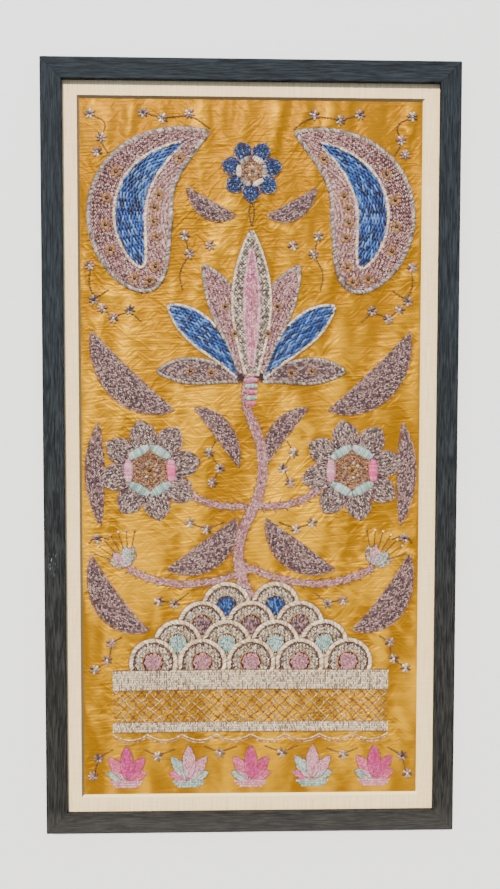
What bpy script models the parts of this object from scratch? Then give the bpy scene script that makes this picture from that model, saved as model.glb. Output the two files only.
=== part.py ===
# Embroidered silk panel in its picture frame, lying on its back with its face up.
# Metres, +Z up. The origin is the middle of the frame's back, and the picture's top points along +Y.
# From the back: backing board, silk, linen-covered window mat, glazing, and four mitred rails
# whose rabbet holds them all.

import math

import bmesh
import bpy
import numpy as np
from mathutils import Matrix, Vector

MM = 0.001

# Driving dimensions of the frame
FRAME_WIDTH = 600 * MM
FRAME_HEIGHT = 1120 * MM
FRAME_DEPTH = 20 * MM
RAIL_FACE = 30 * MM
RABBET_WIDTH = 6 * MM
LIP_THICKNESS = 5.8 * MM
EDGE_EASE = 0.8 * MM
EASE_SEGMENTS = 2
CORNER_RADIUS = 2.5 * MM
MITRE_GAP = 0.3 * MM

# Driving dimensions of what the rabbet holds
FIT_GAP = 0.3 * MM
SIDE_CLEARANCE = 0.5 * MM
GLAZING_THICKNESS = 2 * MM
MAT_THICKNESS = 3 * MM
WINDOW_WIDTH = 500 * MM
WINDOW_HEIGHT = 1021 * MM
SILK_THICKNESS = 1 * MM
BACKING_THICKNESS = 5 * MM

# The silk's relief, above its flat face
RELIEF_LIMIT = 2.0 * MM
PAD_SHOULDER = 9 * MM
RELIEF_FADE = 12 * MM
SILK_COLUMNS = 50
SILK_ROWS = 102
SPINE_STEPS = 14

# Sizes that follow
PACKAGE_WIDTH = FRAME_WIDTH - 2 * (RAIL_FACE - RABBET_WIDTH + SIDE_CLEARANCE)
PACKAGE_HEIGHT = FRAME_HEIGHT - 2 * (RAIL_FACE - RABBET_WIDTH + SIDE_CLEARANCE)
GLAZING_TOP = FRAME_DEPTH - LIP_THICKNESS - FIT_GAP
MAT_TOP = GLAZING_TOP - GLAZING_THICKNESS - FIT_GAP
SILK_TOP = MAT_TOP - MAT_THICKNESS - FIT_GAP
SILK_BACK = SILK_TOP - SILK_THICKNESS
BACKING_TOP = SILK_BACK - FIT_GAP

# Soft creases of the silk in mm: start x, y, end x, y, height and half width.
# Upright ones hang below the top edge, flat ones lie between the stitching and the sides.
CREASES = (
    (-214, 500, -206, 430, 0.7, 10), (-172, 500, -178, 452, 0.8, 9),
    (-132, 500, -126, 462, 0.9, 9), (-88, 500, -94, 448, 0.8, 10),
    (-46, 500, -38, 442, 0.9, 9), (-6, 500, -14, 446, 0.7, 9),
    (36, 500, 28, 436, 0.9, 10), (78, 500, 60, 440, 1.0, 9),
    (118, 498, 96, 452, 0.8, 9), (206, 478, 232, 462, 0.9, 6),
    (222, 300, 246, 306, 0.9, 7), (218, 262, 244, 256, 1.0, 8),
    (206, 196, 246, 204, 0.8, 8), (-246, 352, -214, 346, 0.7, 7),
    (-246, 236, -196, 228, 0.9, 8), (-246, 186, -214, 192, 0.8, 7),
    (60, 48, 92, 30, 0.8, 7), (-88, 44, -56, 60, 0.7, 7),
    (-70, -86, -30, -70, 0.8, 8), (34, -70, 74, -84, 0.9, 8),
    (172, -128, 246, -118, 1.0, 9), (160, -152, 244, -146, 0.9, 7),
    (-246, -150, -170, -140, 0.8, 8), (-236, -210, -228, -330, 1.0, 11),
    (-214, -240, -212, -330, 0.8, 8), (206, -246, 240, -286, 1.0, 8),
    (188, -300, 246, -322, 0.9, 8), (-240, -372, -214, -440, 0.8, 9),
    (214, -380, 240, -430, 0.9, 8), (-60, 300, -20, 288, 0.7, 8),
    (22, 330, 62, 320, 0.8, 8), (-66, 352, -24, 362, 0.7, 7),
)

# Padded motifs on one half of the panel in mm: start, bend and end of the spine,
# half width, profile and lift. They are mirrored to the other half.
HALF_MOTIFS = (
    ((140, 236), (240, 400), (60, 462), 62, "drop", 1.4),
    ((16, 108), (76, 124), (138, 118), 20, "petal", 1.1),
    ((14, 112), (70, 180), (122, 214), 23, "petal", 1.2),
    ((12, 116), (22, 200), (70, 272), 24, "petal", 1.3),
    ((112, 62), (200, 76), (232, 176), 24, "leaf", 0.9),
    ((222, 44), (236, -26), (220, -108), 14, "leaf", 0.9),
    ((22, -96), (50, -166), (124, -172), 21, "leaf", 0.9),
    ((150, -262), (222, -248), (234, -150), 21, "leaf", 0.9),
    ((18, -22), (34, 44), (84, 66), 14, "leaf", 0.9),
    ((22, 344), (64, 336), (94, 384), 13, "leaf", 0.9),
    ((6, -78), (62, -84), (100, -54), 5, "stem", 0.8),
    ((4, -172), (104, -216), (180, -170), 5, "stem", 0.8),
    ((148, -26), (148, -26), (148, -26), 52, "disc", 1.2),
)

# Padded motifs on the panel's middle line, in the same columns
MIDDLE_MOTIFS = (
    ((0, -216), (-38, -150), (0, -88), 8, "stem", 1.1),
    ((0, -88), (34, -22), (0, 48), 7, "stem", 1.1),
    ((0, 48), (-18, 84), (0, 116), 6, "stem", 1.1),
    ((0, 112), (0, 190), (0, 322), 30, "petal", 1.4),
    ((0, 406), (0, 406), (0, 406), 32, "disc", 1.2),
    ((-204, -337), (0, -334), (204, -337), 15, "stem", 0.8),
    ((-204, -408), (0, -406), (204, -408), 7, "stem", 0.7),
)

# The mound under the tree: each row's height on the panel and its number of scales
SCALE_ROWS = ((-226, 2), (-254, 3), (-282, 4), (-310, 5))
SCALE_PITCH = 72
SCALE_LIFT = 1.1


def make_material(name, colour, roughness, alpha=1.0):
    """A plain Principled material; the colour is linear red, green, blue."""
    material = bpy.data.materials.new(name)
    material.use_nodes = True
    shader = material.node_tree.nodes["Principled BSDF"]
    shader.inputs["Base Color"].default_value = (*colour, 1.0)
    shader.inputs["Roughness"].default_value = roughness
    shader.inputs["Metallic"].default_value = 0.0
    shader.inputs["Alpha"].default_value = alpha
    return material


def make_object(name, mesh_builder, material):
    """Turns a finished bmesh into a named object with one material."""
    bmesh.ops.recalc_face_normals(mesh_builder, faces=mesh_builder.faces)
    mesh = bpy.data.meshes.new(name)
    mesh_builder.to_mesh(mesh)
    mesh_builder.free()
    mesh.materials.append(material)
    piece = bpy.data.objects.new(name, mesh)
    bpy.context.collection.objects.link(piece)
    return piece


def cut_off(builder, point, normal):
    """Cuts away what lies beyond a plane and closes the cut."""
    geometry = builder.verts[:] + builder.edges[:] + builder.faces[:]
    bmesh.ops.bisect_plane(builder, geom=geometry, plane_co=point, plane_no=normal,
                           clear_outer=True)
    rim = [edge for edge in builder.edges if edge.is_boundary]
    if rim:
        bmesh.ops.holes_fill(builder, edges=rim)


def rail_profile(builder, outer_y):
    """The moulding's section as one face in the YZ plane, its two front arrises eased."""
    sight_y = outer_y + RAIL_FACE
    rabbet_y = sight_y - RABBET_WIDTH
    lip_z = FRAME_DEPTH - LIP_THICKNESS
    corners = ((outer_y, 0), (outer_y, FRAME_DEPTH), (sight_y, FRAME_DEPTH),
               (sight_y, lip_z), (rabbet_y, lip_z), (rabbet_y, 0))
    section = builder.faces.new([builder.verts.new((0, y, z)) for y, z in corners])
    front = [vertex for vertex in section.verts if vertex.co.z == section.verts[1].co.z]
    bmesh.ops.bevel(builder, geom=front, offset=EDGE_EASE, segments=EASE_SEGMENTS,
                    profile=0.5, affect="VERTICES", material=-1)
    return builder.faces[:]


def make_rail(name, length, half_span, turn, material):
    """One rail: the section extruded, mitred at both ends and rounded at the outer corners.

    It is built as a bottom rail, its outer side at -half_span, and turned into place.
    """
    builder = bmesh.new()
    section = rail_profile(builder, -half_span)
    bmesh.ops.translate(builder, verts=builder.verts, vec=(-length / 2, 0, 0))
    grown = bmesh.ops.extrude_face_region(builder, geom=section)
    far_end = [item for item in grown["geom"] if isinstance(item, bmesh.types.BMVert)]
    bmesh.ops.translate(builder, verts=far_end, vec=(length, 0, 0))
    for side in (-1, 1):
        tip = Vector((side * length / 2, -half_span, 0))
        across = Vector((side, 1, 0)).normalized()
        cut_off(builder, tip - across * MITRE_GAP / 2, across)
        centre = tip + Vector((-side * CORNER_RADIUS, CORNER_RADIUS, 0))
        for angle in (45, 67.5):
            turned = math.radians(angle)
            tangent = Vector((side * math.cos(turned), -math.sin(turned), 0))
            cut_off(builder, centre + tangent * CORNER_RADIUS, tangent)
    rail = make_object(name, builder, material)
    rail.rotation_euler = (0, 0, math.radians(turn))
    return rail


def make_sheet(name, thickness, top, material):
    """A plain rectangular sheet of the package's outline."""
    builder = bmesh.new()
    size = Matrix.Diagonal((PACKAGE_WIDTH, PACKAGE_HEIGHT, thickness, 1))
    bmesh.ops.create_cube(builder, size=1, matrix=size)
    sheet = make_object(name, builder, material)
    sheet.location = (0, 0, top - thickness / 2)
    return sheet


def make_window_mat(name, material):
    """A flat board whose window is cut at 45 degrees, wider at the front."""
    builder = bmesh.new()
    outline = Matrix.Diagonal((PACKAGE_WIDTH, PACKAGE_HEIGHT, 1, 1))
    bmesh.ops.create_grid(builder, x_segments=1, y_segments=1, size=0.5, matrix=outline)
    board = builder.faces[:]
    bmesh.ops.inset_region(builder, faces=board, thickness=(PACKAGE_WIDTH - WINDOW_WIDTH) / 2,
                           use_boundary=True)
    for vertex in board[0].verts:
        vertex.co.x = math.copysign(WINDOW_WIDTH / 2, vertex.co.x)
        vertex.co.y = math.copysign(WINDOW_HEIGHT / 2, vertex.co.y)
    bmesh.ops.delete(builder, geom=board, context="FACES_ONLY")
    grown = bmesh.ops.extrude_face_region(builder, geom=builder.faces[:])
    back = [item for item in grown["geom"] if isinstance(item, bmesh.types.BMVert)]
    bmesh.ops.translate(builder, verts=back, vec=(0, 0, -MAT_THICKNESS))
    for vertex in back:
        if abs(vertex.co.x) < PACKAGE_WIDTH / 2 - MAT_THICKNESS:
            vertex.co.x -= math.copysign(MAT_THICKNESS, vertex.co.x)
            vertex.co.y -= math.copysign(MAT_THICKNESS, vertex.co.y)
    window_mat = make_object(name, builder, material)
    window_mat.location = (0, 0, MAT_TOP)
    return window_mat


def smooth_step(value):
    """0 below 0, 1 above 1, and a soft ramp between."""
    ramp = np.clip(value, 0, 1)
    return ramp * ramp * (3 - 2 * ramp)


def half_width(profile, share):
    """A motif's half width along its spine, as a share of its widest place."""
    if profile == "leaf":
        return math.sin(math.pi * share) ** 0.75
    if profile == "petal":
        return math.sin(math.pi * (0.1 + 0.88 * share ** 1.4)) ** 0.8
    if profile == "drop":
        return 2.378 * share ** 0.5 * (1 - share) ** 0.8
    return 1


def motif_depth(x, y, motif):
    """How far inside a motif each point lies, negative outside it."""
    start, bend, end, width, profile, _ = motif
    depth = np.full(x.shape, -1.0)
    for step in range(SPINE_STEPS + 1):
        share = step / SPINE_STEPS
        weights = ((1 - share) ** 2, 2 * share * (1 - share), share ** 2)
        spine_x = sum(w * p[0] for w, p in zip(weights, (start, bend, end))) * MM
        spine_y = sum(w * p[1] for w, p in zip(weights, (start, bend, end))) * MM
        reach = width * MM * half_width(profile, share)
        depth = np.maximum(depth, reach - np.hypot(x - spine_x, y - spine_y))
    return depth


def all_motifs():
    """The motifs of both halves, of the middle line and of the mound."""
    motifs = list(HALF_MOTIFS) + list(MIDDLE_MOTIFS)
    for start, bend, end, width, profile, lift in HALF_MOTIFS:
        mirrored = [(-x, y) for x, y in (start, bend, end)]
        motifs.append((*mirrored, width, profile, lift))
    for row_y, count in SCALE_ROWS:
        for place in range(count):
            centre = ((place - (count - 1) / 2) * SCALE_PITCH, row_y)
            motifs.append((centre, centre, centre, SCALE_PITCH / 2, "disc", SCALE_LIFT))
    return motifs


def crease_height(x, y, crease):
    """A soft ridge along a straight line that dies away at both ends."""
    start_x, start_y, end_x, end_y, height, width = (value * MM for value in crease)
    run_x = end_x - start_x
    run_y = end_y - start_y
    length = math.hypot(run_x, run_y)
    along = ((x - start_x) * run_x + (y - start_y) * run_y) / length ** 2
    aside = ((x - start_x) * run_y - (y - start_y) * run_x) / length
    ends = smooth_step(along * 4 + 0.5) * smooth_step((1 - along) * 4 + 0.5)
    return height * ends * np.exp(-(aside / width) ** 2)


def silk_relief(x, y):
    """Height of the silk above its flat face: padded motifs and soft creases, flat at the rim."""
    pads = np.zeros(x.shape)
    for motif in all_motifs():
        rise = motif[5] * MM * smooth_step(motif_depth(x, y, motif) / PAD_SHOULDER + 0.4)
        pads = np.maximum(pads, rise)
    folds = sum(crease_height(x, y, crease) for crease in CREASES)
    inside_x = WINDOW_WIDTH / 2 - MAT_THICKNESS - np.abs(x)
    inside_y = WINDOW_HEIGHT / 2 - MAT_THICKNESS - np.abs(y)
    fade = smooth_step(np.minimum(inside_x, inside_y) / RELIEF_FADE)
    return np.minimum(pads + folds, RELIEF_LIMIT) * fade


def make_silk(name, material):
    """The silk: its face raised point by point, its back flat on the board."""
    builder = bmesh.new()
    outline = Matrix.Diagonal((PACKAGE_WIDTH, PACKAGE_HEIGHT, 1, 1))
    bmesh.ops.create_grid(builder, x_segments=SILK_COLUMNS, y_segments=SILK_ROWS, size=0.5,
                          matrix=outline)
    face = builder.verts[:]
    x = np.array([vertex.co.x for vertex in face])
    y = np.array([vertex.co.y for vertex in face])
    for vertex, rise in zip(face, silk_relief(x, y)):
        vertex.co.z = SILK_THICKNESS + rise
    rim = [edge for edge in builder.edges if edge.is_boundary]
    grown = bmesh.ops.extrude_edge_only(builder, edges=rim)
    for item in grown["geom"]:
        if isinstance(item, bmesh.types.BMVert):
            item.co.z = 0
    back_rim = [edge for edge in builder.edges if edge.is_boundary]
    back = bmesh.ops.contextual_create(builder, geom=back_rim)["faces"]
    bmesh.ops.poke(builder, faces=back)
    silk = make_object(name, builder, material)
    silk.location = (0, 0, SILK_BACK)
    return silk


def build():
    """Clears the scene and makes every piece."""
    for old in list(bpy.data.objects):
        bpy.data.objects.remove(old, do_unlink=True)
    stained_wood = make_material("stained_wood", (0.055, 0.062, 0.072), 0.6)
    clear_glass = make_material("clear_glass", (0.9, 0.92, 0.92), 0.05, alpha=0.1)
    linen_board = make_material("linen_board", (0.76, 0.68, 0.57), 0.9)
    yellow_silk = make_material("yellow_silk", (0.73, 0.36, 0.03), 0.45)
    grey_board = make_material("grey_board", (0.36, 0.30, 0.22), 0.85)
    half_width_x = FRAME_WIDTH / 2
    half_height_y = FRAME_HEIGHT / 2
    make_rail("rail_bottom", FRAME_WIDTH, half_height_y, 0, stained_wood)
    make_rail("rail_right", FRAME_HEIGHT, half_width_x, 90, stained_wood)
    make_rail("rail_top", FRAME_WIDTH, half_height_y, 180, stained_wood)
    make_rail("rail_left", FRAME_HEIGHT, half_width_x, 270, stained_wood)
    make_sheet("glazing", GLAZING_THICKNESS, GLAZING_TOP, clear_glass)
    make_window_mat("window_mat", linen_board)
    make_silk("silk_panel", yellow_silk)
    make_sheet("backing_board", BACKING_THICKNESS, BACKING_TOP, grey_board)


build()
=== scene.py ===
# %% [markdown]
# # A framed panel of embroidered silk
# A sheet of golden silk is worked by hand with thick cotton thread, then stretched over a board.
# A linen-covered window mat lies on it, glass lies on the mat, and four mitred rails hold the stack.
# The rails, the glass and the mat are rigid, so their solids come ready made and only get finishes.
# The silk and its stitches are soft, so this lesson models them: first the cloth, then the thread.

import math
from collections import namedtuple

import bmesh
import bpy
import numpy as np
from mathutils import Matrix, Vector


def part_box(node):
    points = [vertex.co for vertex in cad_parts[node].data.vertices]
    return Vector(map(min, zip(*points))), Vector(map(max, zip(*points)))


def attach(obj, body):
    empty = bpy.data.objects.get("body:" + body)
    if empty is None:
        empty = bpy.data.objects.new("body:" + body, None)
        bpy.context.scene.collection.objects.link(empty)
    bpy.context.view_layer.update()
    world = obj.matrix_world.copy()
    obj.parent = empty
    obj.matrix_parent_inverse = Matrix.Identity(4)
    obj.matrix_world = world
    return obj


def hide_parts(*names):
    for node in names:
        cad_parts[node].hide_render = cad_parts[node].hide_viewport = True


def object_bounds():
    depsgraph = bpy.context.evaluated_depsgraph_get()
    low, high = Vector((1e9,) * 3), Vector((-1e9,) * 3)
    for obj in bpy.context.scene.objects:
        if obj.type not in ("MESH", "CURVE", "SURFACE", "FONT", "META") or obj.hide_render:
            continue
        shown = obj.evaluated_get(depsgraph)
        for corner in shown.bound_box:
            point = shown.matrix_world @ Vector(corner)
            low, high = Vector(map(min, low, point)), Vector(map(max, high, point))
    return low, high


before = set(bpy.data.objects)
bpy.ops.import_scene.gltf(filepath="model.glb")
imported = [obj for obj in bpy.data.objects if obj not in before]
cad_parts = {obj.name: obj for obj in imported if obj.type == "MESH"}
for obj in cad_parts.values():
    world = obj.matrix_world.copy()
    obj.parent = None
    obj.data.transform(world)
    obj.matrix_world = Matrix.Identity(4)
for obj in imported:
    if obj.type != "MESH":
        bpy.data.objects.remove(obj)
cad_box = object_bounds()
MM = 0.001
silk_low, silk_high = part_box("silk_panel")
mat_low, mat_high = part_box("window_mat")
glass_low, glass_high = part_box("glazing")
print("solids", sorted(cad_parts), "size in mm", [round(v / MM) for v in cad_box[1] - cad_box[0]])

# %% [markdown]
# ## The camera
# The picture was taken from about a metre, a little above and left of the middle, so the frame's
# sides lean in slightly. A camera is placed by its eye point and two directions, which a lesson can
# read more easily than three turns. The lens is that of a phone, wide for so close a view.

# %% Camera
LENS = 27.03
SENSOR = 36.0
EYE = Vector((-0.0224, 0.0471, cad_box[1].z + 0.9643))
SIGHT = Vector((0.0209, -0.0358, -0.9991)).normalized()
UP = Vector((-0.0008, 0.9994, -0.0358)).normalized()


def put_in_scene(name, data):
    """A new object that holds this data, linked to the scene."""
    made = bpy.data.objects.new(name, data)
    bpy.context.scene.collection.objects.link(made)
    return made


def make_camera():
    """A camera at the eye point, looking along the sight line."""
    data = bpy.data.cameras.new("camera")
    data.lens = LENS
    data.sensor_width = SENSOR
    camera = put_in_scene("camera", data)
    right = SIGHT.cross(UP).normalized()
    upward = right.cross(SIGHT)
    turn = Matrix((right, upward, -SIGHT)).transposed()
    camera.matrix_world = Matrix.Translation(EYE) @ turn.to_4x4()
    bpy.context.scene.camera = camera


make_camera()
print("camera", round(EYE.z - cad_box[1].z, 3), "m above the face")

# %% [markdown]
# ## Shader sums as plain expressions
# A finish is a sum of patterns. Written node by node it is hard to read, so one small class wraps a
# socket and lets Python's own operators add the Math nodes. Every other node comes from one method.

# %% Shader helper
class Shade:
    """One output of a node tree. Sums on it add Math nodes to the tree."""

    def __init__(self, tree, socket=None):
        self.tree = tree
        self.socket = socket

    def add(self, kind, settings=None, sockets=None, output=0):
        """A new node: its settings first, then the values or links of its sockets."""
        made = self.tree.nodes.new(kind)
        for name, value in (settings or {}).items():
            setattr(made, name, value)
        for name, value in (sockets or {}).items():
            if isinstance(value, Shade):
                self.tree.links.new(value.socket, made.inputs[name])
            else:
                made.inputs[name].default_value = value
        return Shade(self.tree, made.outputs[output])

    def maths(self, operation, first, second=0.0):
        return self.add("ShaderNodeMath", {"operation": operation}, {0: first, 1: second})

    def __add__(self, other):
        return self.maths("ADD", self, other)

    def __radd__(self, other):
        return self.maths("ADD", other, self)

    def __sub__(self, other):
        return self.maths("SUBTRACT", self, other)

    def __rsub__(self, other):
        return self.maths("SUBTRACT", other, self)

    def __mul__(self, other):
        return self.maths("MULTIPLY", self, other)

    def __rmul__(self, other):
        return self.maths("MULTIPLY", other, self)

    def steps(self, low, high):
        """0 below low, 1 above high, a soft ramp between."""
        return self.add("ShaderNodeMapRange", {"interpolation_type": "SMOOTHSTEP"},
                        {"Value": self, "From Min": low, "From Max": high})

    def blend(self, first, second, mode="MIX"):
        """Goes from the first colour to the second as this value goes from 0 to 1."""
        return self.add("ShaderNodeMix", {"data_type": "RGBA", "blend_type": mode},
                        {0: self, 6: first, 7: second}, 2)

    def part(self, axis):
        """One number of a vector: 0, 1 or 2 for X, Y or Z."""
        return self.add("ShaderNodeSeparateXYZ", None, {0: self}, axis)

    def attribute(self, name, output="Fac"):
        """What the mesh stores at its points under this name."""
        return self.add("ShaderNodeAttribute", {"attribute_name": name}, output=output)

    def speckle(self, stretch, detail=2.0, rough=0.5, turn=0.0, wander=0.0):
        """Noise read at this place, repeating so many times in a metre on each axis, turned about Z."""
        cells = tuple(1 / repeats for repeats in stretch)
        spread = self.add("ShaderNodeMapping", {"vector_type": "TEXTURE"},
                          {"Vector": self, "Scale": cells, "Rotation": (0.0, 0.0, turn)})
        return self.add("ShaderNodeTexNoise", None,
                        {"Vector": spread, "Scale": 1.0, "Detail": detail, "Roughness": rough,
                         "Distortion": wander})

    def crests(self, stretch, turn):
        """Narrow crests with wide hollows between them, as noise has where it crosses its middle."""
        away = self.maths("ABSOLUTE", self.speckle(stretch, 1.0, turn=turn) - 0.5)
        return 1 - away.steps(0.0, 0.13)


LIGHT_GAIN = 1.5


def tint(red, green, blue):
    """A shader colour that shows as this one on screen, 0 to 255, in light this much above plain."""
    values = [v / 255 for v in (red, green, blue)]
    linear = [v / 12.92 if v < 0.04 else ((v + 0.055) / 1.055) ** 2.4 for v in values]
    return (*[v / LIGHT_GAIN for v in linear], 1.0)


def start_material(name, **constants):
    """A Principled material with its constant sockets set, its tree and its Object coordinates."""
    material = bpy.data.materials.new(name)
    material.use_nodes = True
    shader = material.node_tree.nodes["Principled BSDF"]
    for socket, value in constants.items():
        shader.inputs[socket.replace("_", " ")].default_value = value
    place = Shade(material.node_tree).add("ShaderNodeTexCoord", output="Object")
    return material, shader, place


def wire(shader, place, **links):
    """Links varying values into a shader's sockets; bump is a height in metres."""
    if "bump" in links:
        links["Normal"] = place.add("ShaderNodeBump", None,
                                    {"Distance": 1.0, "Height": links.pop("bump")})
    for socket, value in links.items():
        place.tree.links.new(value.socket, shader.inputs[socket.replace("_", " ")])


print("a colour of 128 on screen is", round(tint(128, 128, 128)[0], 3), "in a shader")

# %% [markdown]
# ## Light and floor
# The panel was lit by the sun from the top, slightly left, with a blue sky filling the shadows. A sun
# lamp a few degrees wide gives the same direction with soft edges. The world is a pale dome, bluer
# towards the picture's top, and a cool panel beyond the top rail stands for the open sky there. The
# lamps are brighter by one gain and the tints darker by it, so that the palest thread, which shows as
# nearly white, still has a shader colour under 1.

# %% Stage
KEY_DIRECTION = Vector((-0.20, 0.66, 1.0)).normalized()
KEY_STRENGTH = 5.2 * LIGHT_GAIN
KEY_ANGLE = math.radians(3)
KEY_COLOUR = (1.0, 0.92, 0.75)
DOME_STRENGTH = 0.47 * LIGHT_GAIN
DOME_LOW = (0.62, 0.74, 0.90, 1.0)
DOME_HIGH = (0.54, 0.81, 1.36, 1.0)
SKY_PLACE = Vector((-0.3, 1.15, 0.9))
SKY_AIM = Vector((0.0, 0.35, 0.0))
SKY_SIZE = 0.8
SKY_STRENGTH = 2.2 * LIGHT_GAIN
SKY_COLOUR = (0.60, 0.82, 1.35)
GLINT_LOW = Vector((-0.252, 0.424))
GLINT_HIGH = Vector((-0.145, 0.520))
GLINT_STRENGTH = 0.12
FLOOR_SIZE = 12.0
FLOOR_DROP = 0.0004


def make_lamp(name, kind, energy, **settings):
    """A lamp of this kind and strength, which shines straight down until it is turned."""
    data = bpy.data.lights.new(name, kind)
    data.energy = energy
    for setting, value in settings.items():
        setattr(data, setting, value)
    return put_in_scene(name, data)


def face(lamp, towards):
    """Turns a lamp so that its light comes from this direction."""
    lamp.rotation_euler = towards.to_track_quat("Z", "Y").to_euler()


def make_dome():
    """A pale dome that is cooler on the side of the picture's top."""
    world = bpy.data.worlds.new("dome")
    world.use_nodes = True
    bpy.context.scene.world = world
    tree = world.node_tree
    height = Shade(tree).add("ShaderNodeTexCoord", output="Generated").part(1)
    colour = height.steps(-0.6, 0.8).blend(DOME_LOW, DOME_HIGH)
    backdrop = tree.nodes["Background"]
    backdrop.inputs["Strength"].default_value = DOME_STRENGTH
    tree.links.new(colour.socket, backdrop.inputs["Color"])


def make_sky_panel():
    """A large cool panel beyond the top rail, so the top is lit a little more and cooler."""
    panel = make_lamp("sky_panel", "AREA", SKY_STRENGTH, size=SKY_SIZE, color=SKY_COLOUR)
    panel.location = SKY_PLACE
    face(panel, SKY_PLACE - SKY_AIM)
    panel.visible_glossy = False


def make_glint():
    """A bright card that the glass mirrors over the silk's top left corner, as a window does."""
    wide, high = 2 * (GLINT_HIGH - GLINT_LOW)
    card = make_lamp("glint", "AREA", GLINT_STRENGTH, shape="RECTANGLE", size=wide, size_y=high)
    card.location = (*(GLINT_LOW + GLINT_HIGH - EYE.xy), EYE.z)


def make_floor():
    """A plain pale floor just under the frame's back."""
    builder = bmesh.new()
    level = Matrix.Translation((0, 0, cad_box[0].z - FLOOR_DROP))
    bmesh.ops.create_grid(builder, x_segments=1, y_segments=1, size=FLOOR_SIZE, matrix=level)
    mesh = bpy.data.meshes.new("floor")
    builder.to_mesh(mesh)
    builder.free()
    paper, _, _ = start_material("pale_floor", Roughness=0.9, Base_Color=(0.93, 0.93, 0.93, 1.0))
    mesh.materials.append(paper)
    put_in_scene("floor", mesh)


face(make_lamp("key", "SUN", KEY_STRENGTH, angle=KEY_ANGLE, color=KEY_COLOUR), KEY_DIRECTION)
make_dome()
make_sky_panel()
make_glint()
make_floor()
print("key light", round(math.degrees(KEY_DIRECTION.angle(Vector((0, 0, 1))))), "degrees off the face")

# %% [markdown]
# ## Brushed, stained wood
# The moulding is open-grained wood, wire-brushed and stained charcoal, so pale streaks run along
# each rail. Noise stretched along the rail gives the streaks, and the same noise gives the bump, so
# the grooves and the colour agree. The top and bottom rails need the pattern turned, so the finish
# is a function of the rail's direction.

# %% Wood
FINE_GRAIN = (560.0, 32.0)
BROAD_GRAIN = (200.0, 18.0)
PORES = (1100.0, 60.0)
SKY_PAINTED_STAIN = (tint(27, 31, 35), tint(58, 65, 71))
PLAIN_STAIN = (tint(31, 31, 30), tint(67, 65, 61))
PAINTED_SKY_RISE = (-0.5, 0.3)
PALER_FOOT = tint(112, 108, 104)
FOOT_ENDS = (-0.545, -0.52)
DARK_PORE = tint(20, 22, 26)
SCRATCH = Vector((-287, -160, 20)) * MM
SCRATCH_REACH = (9 * MM, 26 * MM, 50 * MM)
SCRATCH_COLOUR = tint(160, 165, 172)


def stretched(along, repeats):
    """Repeats in a metre on each axis, from those across the grain and those along it."""
    axes = [repeats[0]] * 3
    axes[along] = repeats[1]
    return axes


def wood(name, along):
    """Charcoal-stained wood whose grain runs along X (0) or Y (1), cooler at the top as a painted sky
    reflection.
    """
    material, shader, place = start_material(name, Specular_IOR_Level=0.08)
    streak = place.speckle(stretched(along, FINE_GRAIN), 3.0, 0.6, wander=0.5)
    drift = place.speckle(stretched(along, BROAD_GRAIN), 2.0, wander=0.8)
    pore = place.speckle(stretched(along, PORES), 1.0).steps(0.60, 0.70)
    pale = (streak + drift * 0.25).steps(0.45, 0.84)
    height = place.part(1)
    # Painted sky reflection: the stain turns cooler towards the picture's top.
    below_painted_sky = 1 - height.steps(*PAINTED_SKY_RISE)
    stain = below_painted_sky.blend(pale.blend(*SKY_PAINTED_STAIN), pale.blend(*PLAIN_STAIN))
    # The bottom rail is made paler towards its outer edge.
    foot = (1 - height.steps(*FOOT_ENDS)) * 0.17
    stain = foot.blend(stain, PALER_FOOT)
    stain = (pore * 0.45).blend(stain, DARK_PORE)
    away = place.add("ShaderNodeVectorMath", {"operation": "SUBTRACT"}, {0: place, 1: SCRATCH})
    away = place.add("ShaderNodeVectorMath", {"operation": "MULTIPLY"},
                     {0: away, 1: tuple(1 / reach for reach in SCRATCH_REACH)})
    far = place.add("ShaderNodeVectorMath", {"operation": "LENGTH"}, {0: away}, "Value")
    worn = (1 - far.steps(0.3, 1.0)) * place.speckle((500.0, 160.0, 160.0), 3.0).steps(0.56, 0.7)
    wire(shader, place, Base_Color=(worn * 0.6).blend(stain, SCRATCH_COLOUR),
         Roughness=0.66 + pale * 0.16, bump=streak * 0.00022 - pore * 0.00012)
    return material


def dress(node, material):
    """Gives a solid this finish as its only material."""
    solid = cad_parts[node]
    solid.data.materials.clear()
    solid.data.materials.append(material)


wood_across = wood("stained_wood_across", 0)
wood_upright = wood("stained_wood_upright", 1)
for node, finish in (("rail_top", wood_across), ("rail_bottom", wood_across),
                     ("rail_left", wood_upright), ("rail_right", wood_upright)):
    dress(node, finish)
print("grain lines about", round(1000 / FINE_GRAIN[0], 1), "mm apart")

# %% [markdown]
# ## Linen mat and its bevel
# The mat is board covered with fine linen: two sets of threads, each a little uneven, cross at right
# angles. The window is cut at 45 degrees and shows the pale core. The bevel is the only part of the
# mat that faces sideways, so the surface normal tells the finish where the core shows. The two
# bevels that turn away from the sun get painted shade, a dark core colour.

# %% Linen
LINEN_DEEP = (0.84, 0.58, 0.29, 1.0)
LINEN_PALE = (1.0, 0.78, 0.44, 1.0)
LINEN_GAP = (0.72, 0.49, 0.25, 1.0)
LINEN_CLOUD = (0.92, 0.62, 0.29, 1.0)
CORE_LIT = (0.95, 0.74, 0.38, 1.0)
CORE_SHADED = (0.16, 0.11, 0.05, 1.0)


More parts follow.
